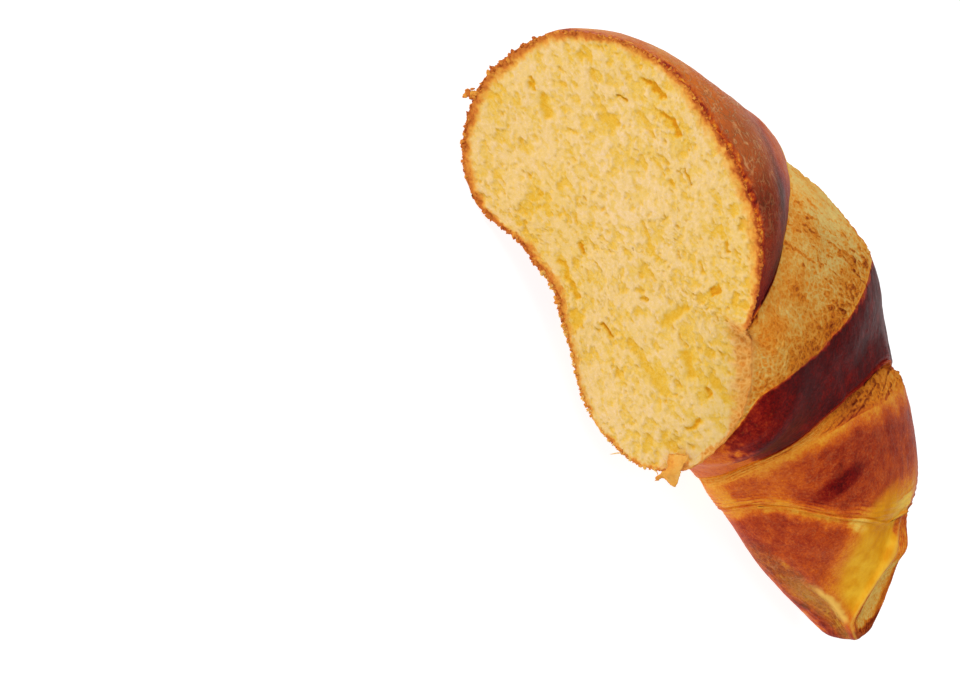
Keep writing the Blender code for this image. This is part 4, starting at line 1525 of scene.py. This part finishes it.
def loose_crumbs():
    """Small uneven crumbs along the cut's rim: their points, faces and how brown they are."""
    random = np.random.default_rng(CRUMB_SEED)
    shape, sides = ball(2)
    points, faces, brown, total = [], [], [], 0
    for first, last, count, least, most, light, deep in RIM_CRUMBS:
        for _ in range(count):
            degrees = random.uniform(first, last)
            size = least + (most - least) * random.random() ** 1.7
            depth = random.uniform(-0.2, 1.0) * size
            place = surface(max(depth, 0.0), degrees)
            middle = surface(0.0, degrees, 0.97)
            place = place + (middle - surface(0.0, degrees)) * random.uniform(-0.15, 0.8) * size / 0.0009
            place[1] = place[1] + min(depth, 0.0)
            stretch = size * random.uniform(0.55, 1.25, 3)
            rough = 1.0 + 0.50 * waves(shape + random.uniform(0.0, 50.0, 3), 0.8, 7, 3, 0.8)
            turn = np.array(Matrix.Rotation(random.uniform(0.0, 6.28), 3, Vector(random.normal(size=3))))
            points.append(place + (shape * rough[:, None] * stretch) @ turn.T)
            faces.append(sides + total)
            brown.append(np.full(len(shape), random.uniform(light, deep)))
            total += len(shape)
    for x, z, size in LARGE_CRUMB:
        rough = 1.0 + 0.45 * waves(shape + random.uniform(0.0, 50.0, 3), 0.8, 7, 3, 0.7)
        points.append(np.array([x, 0.0002, z]) + shape * rough[:, None] * size * random.uniform(0.7, 1.1, 3))
        faces.append(sides + total)
        brown.append(np.full(len(shape), random.uniform(0.35, 0.7)))
        total += len(shape)
    points = np.concatenate(points)
    points[:, 2] = np.maximum(points[:, 2], 0.0)
    return points, np.concatenate(faces), np.concatenate(brown)


def torn_flap(thickness):
    """The thin forked flap of crumb that hangs from the lower end of the cut."""
    down, across = np.linspace(0.0, 1.0, FLAP_ROWS), np.linspace(0.0, 1.0, FLAP_COLUMNS)
    rails = [np.stack([curve(FLAP_STEPS, [corner[k] for corner in rail], down) for k in (0, 1)], -1)
             for rail in (FLAP_LEFT, FLAP_RIGHT)]
    flat = blend(rails[0][:, None], rails[1][:, None], across[None, :, None])
    flat[..., 0] -= FLAP_FORK * ease(down, 0.75, 1.0)[:, None] * np.sin(np.pi * across)[None, :] ** 2
    flat = shaken(flat, 0.00020, 0.0016, (21, 25))
    thick = thickness * np.sqrt(np.sin(np.pi * np.clip(across, 0.02, 0.98)))[None, :]
    thick = thick * (1.0 - 0.6 * down[:, None] ** 3)
    out = -FLAP_STAND - FLAP_BULGE * np.sin(np.pi * down)[:, None]
    out = out + 0.00015 * waves(flat, 0.0020, 29, 3, 0.7)
    sheets = [np.stack([flat[..., 0], out + side * thick / 2.0, flat[..., 1]], -1) for side in (-1.0, 1.0)]
    rows, count = flat.shape[:2]
    loop = np.concatenate([sheets[0], sheets[1][:, ::-1]], axis=1)
    faces = grid_faces(rows, 2 * count)
    ends = []
    for row in (0, rows - 1):
        for j in range(count - 1):
            quad = [row * 2 * count + k for k in (j, j + 1, 2 * count - 2 - j, 2 * count - 1 - j)]
            ends.append(quad[::-1] if row else quad)
    return loop.reshape(-1, 3), np.concatenate([faces, np.array(ends)])


def hairs():
    """Fine torn fibres that stick out of the rim near the cut's lower end."""
    points, faces, total = [], [], 0
    turn = np.arange(HAIR_SIDES) * 2.0 * np.pi / HAIR_SIDES
    for start_x, start_z, end_x, end_z, wide in RIM_HAIRS:
        share = np.linspace(0.0, 1.0, HAIR_STEPS)
        x = start_x + (end_x - start_x) * share
        z = start_z + (end_z - start_z) * share + HAIR_BEND * np.sin(share * 5.0)
        size = wide * np.sqrt(np.maximum(1.0 - share ** 2, 0.01))
        out = size[:, None] * np.sin(turn)
        ring = np.stack([x[:, None] + size[:, None] * np.cos(turn), -0.0004 - 0.0003 * share[:, None] + out,
                         z[:, None] + 0.4 * out], -1)
        points.append(ring.reshape(-1, 3))
        faces.append(split_quads(grid_faces(HAIR_STEPS, HAIR_SIDES)) + total)
        total += ring.shape[0] * ring.shape[1]
    return np.concatenate(points), np.concatenate(faces)


def rim_piece(name, points, faces, brown, material):
    """A finished piece of the rim's crumb, browned by a share at each point."""
    marks = {"rim": brown, "pore": np.zeros(len(brown))}
    finish_piece(make_mesh(name, to_part(points), faces, None, marks), material)


class BRIOCHE_OT_torn_bits(bpy.types.Operator):
    """Model the loose crumbs, the fibres and the torn flap of the cut's rim"""

    bl_idname = "brioche.torn_bits"
    bl_label = "Crumbs and torn flap"

    def execute(self, context):
        material = crumb_material(context.scene.brioche_colours)
        points, faces, brown = loose_crumbs()
        more, sides = hairs()
        faces = np.concatenate([faces, sides + len(points)])
        points = np.concatenate([points, more])
        brown = np.concatenate([brown, np.full(len(more), 0.05)])
        rim_piece("rim_crumbs", points, faces, brown, material)
        points, faces = torn_flap(context.scene.brioche.flap_thickness)
        rim_piece("torn_flap", points, faces, 0.34 + 0.10 * waves(points, 0.003, 33, 3, 0.7), material)
        return {"FINISHED"}


class BRIOCHE_OT_stage(bpy.types.Operator):
    """Set up the pale floor, the soft light and the camera"""

    bl_idname = "brioche.stage"
    bl_label = "Stage"

    def execute(self, context):
        bpy.ops.object.select_all(action="DESELECT")
        bpy.ops.mesh.primitive_plane_add(size=FLOOR_SIZE, location=(0.0, 0.0, -FLOOR_GAP))
        floor = context.object
        floor.name = "floor"
        s = Shader("pale_floor")
        s.principled.inputs["Base Color"].default_value = (FLOOR_TONE, FLOOR_TONE, FLOOR_TONE, 1.0)
        s.principled.inputs["Roughness"].default_value = 0.9
        s.principled.inputs["Emission Color"].default_value = (1.0, 1.0, 1.0, 1.0)
        s.principled.inputs["Emission Strength"].default_value = FLOOR_GLOW
        floor.data.materials.append(s.material)
        world = bpy.data.worlds.new("studio")
        world.use_nodes = True
        light = world.node_tree.nodes["Background"]
        light.inputs["Color"].default_value = (1.0, 1.0, 1.0, 1.0)
        light.inputs["Strength"].default_value = WORLD_LIGHT
        context.scene.world = world
        context.scene.view_settings.view_transform = "Standard"
        self.camera(context)
        self.lamp("key", KEY_PLACE, KEY_SIZE, context.scene.brioche.key_power)
        self.lamp("top", TOP_PLACE, TOP_SIZE, TOP_POWER)
        return {"FINISHED"}

    def lamp(self, name, place, size, power):
        """A soft square lamp that points at the part."""
        light = bpy.data.lights.new(name, "AREA")
        light.size = size
        light.energy = power
        lamp = bpy.data.objects.new(name, light)
        bpy.context.collection.objects.link(lamp)
        lamp.location = place
        lamp.rotation_euler = (-Vector(place)).to_track_quat("-Z", "Y").to_euler()

    def camera(self, context):
        """The camera that sees the half as the photo does."""
        azimuth, height, roll = np.radians([VIEW_AZIMUTH, VIEW_HEIGHT, VIEW_ROLL])
        level = Vector((np.cos(azimuth), np.sin(azimuth), 0.0))
        back = Vector((np.sin(azimuth) * np.cos(height), -np.cos(azimuth) * np.cos(height), np.sin(height)))
        upright = back.cross(level)
        right = level * np.cos(roll) + upright * np.sin(roll)
        up = upright * np.cos(roll) - level * np.sin(roll)
        focal_pixels = VIEW_DISTANCE / METRES_PER_PIXEL
        ray = right * ((AIM_PIXEL[0] - IMAGE_SIZE[0] / 2) / focal_pixels) - back
        ray = ray + up * ((IMAGE_SIZE[1] / 2 - AIM_PIXEL[1]) / focal_pixels)
        aim = Vector(to_part(np.array([0.0, 0.0, AIM_HEIGHT])))
        camera = bpy.data.cameras.new("camera")
        camera.sensor_width = 36.0
        camera.lens = focal_pixels * camera.sensor_width / IMAGE_SIZE[0]
        camera.clip_start = 0.01
        eye = bpy.data.objects.new("camera", camera)
        context.collection.objects.link(eye)
        turned = Matrix((right, up, back)).transposed().to_4x4()
        eye.matrix_world = Matrix.Translation(aim - ray * VIEW_DISTANCE) @ turned
        context.scene.camera = eye


class BRIOCHE_PT_panel(bpy.types.Panel):
    """The steps that dress the half"""

    bl_idname = "BRIOCHE_PT_panel"
    bl_label = "Brioche croissant half"
    bl_space_type = "VIEW_3D"
    bl_region_type = "UI"
    bl_category = "Brioche"

    def draw(self, context):
        layout = self.layout
        for group in (context.scene.brioche, context.scene.brioche_colours):
            for name in type(group).__annotations__:
                layout.prop(group, name)
        for step in STEPS:
            layout.operator(step.bl_idname)


STEPS = (BRIOCHE_OT_skin, BRIOCHE_OT_crumb, BRIOCHE_OT_torn_bits, BRIOCHE_OT_stage)
CLASSES = (BriocheSizes, BriocheColours, *STEPS, BRIOCHE_PT_panel)


def register():
    """Adds the sizes, colours, steps and panel to Blender."""
    for item in CLASSES:
        bpy.utils.register_class(item)
    bpy.types.Scene.brioche = bpy.props.PointerProperty(type=BriocheSizes)
    bpy.types.Scene.brioche_colours = bpy.props.PointerProperty(type=BriocheColours)


def unregister():
    """Takes them out again."""
    del bpy.types.Scene.brioche
    del bpy.types.Scene.brioche_colours
    for item in reversed(CLASSES):
        bpy.utils.unregister_class(item)


def main():
    """Dresses the half and sets up the stage."""
    register()
    bpy.ops.brioche.skin()
    bpy.ops.brioche.crumb()
    bpy.ops.brioche.torn_bits()
    bpy.ops.brioche.stage()


if __name__ == "__main__":
    main()
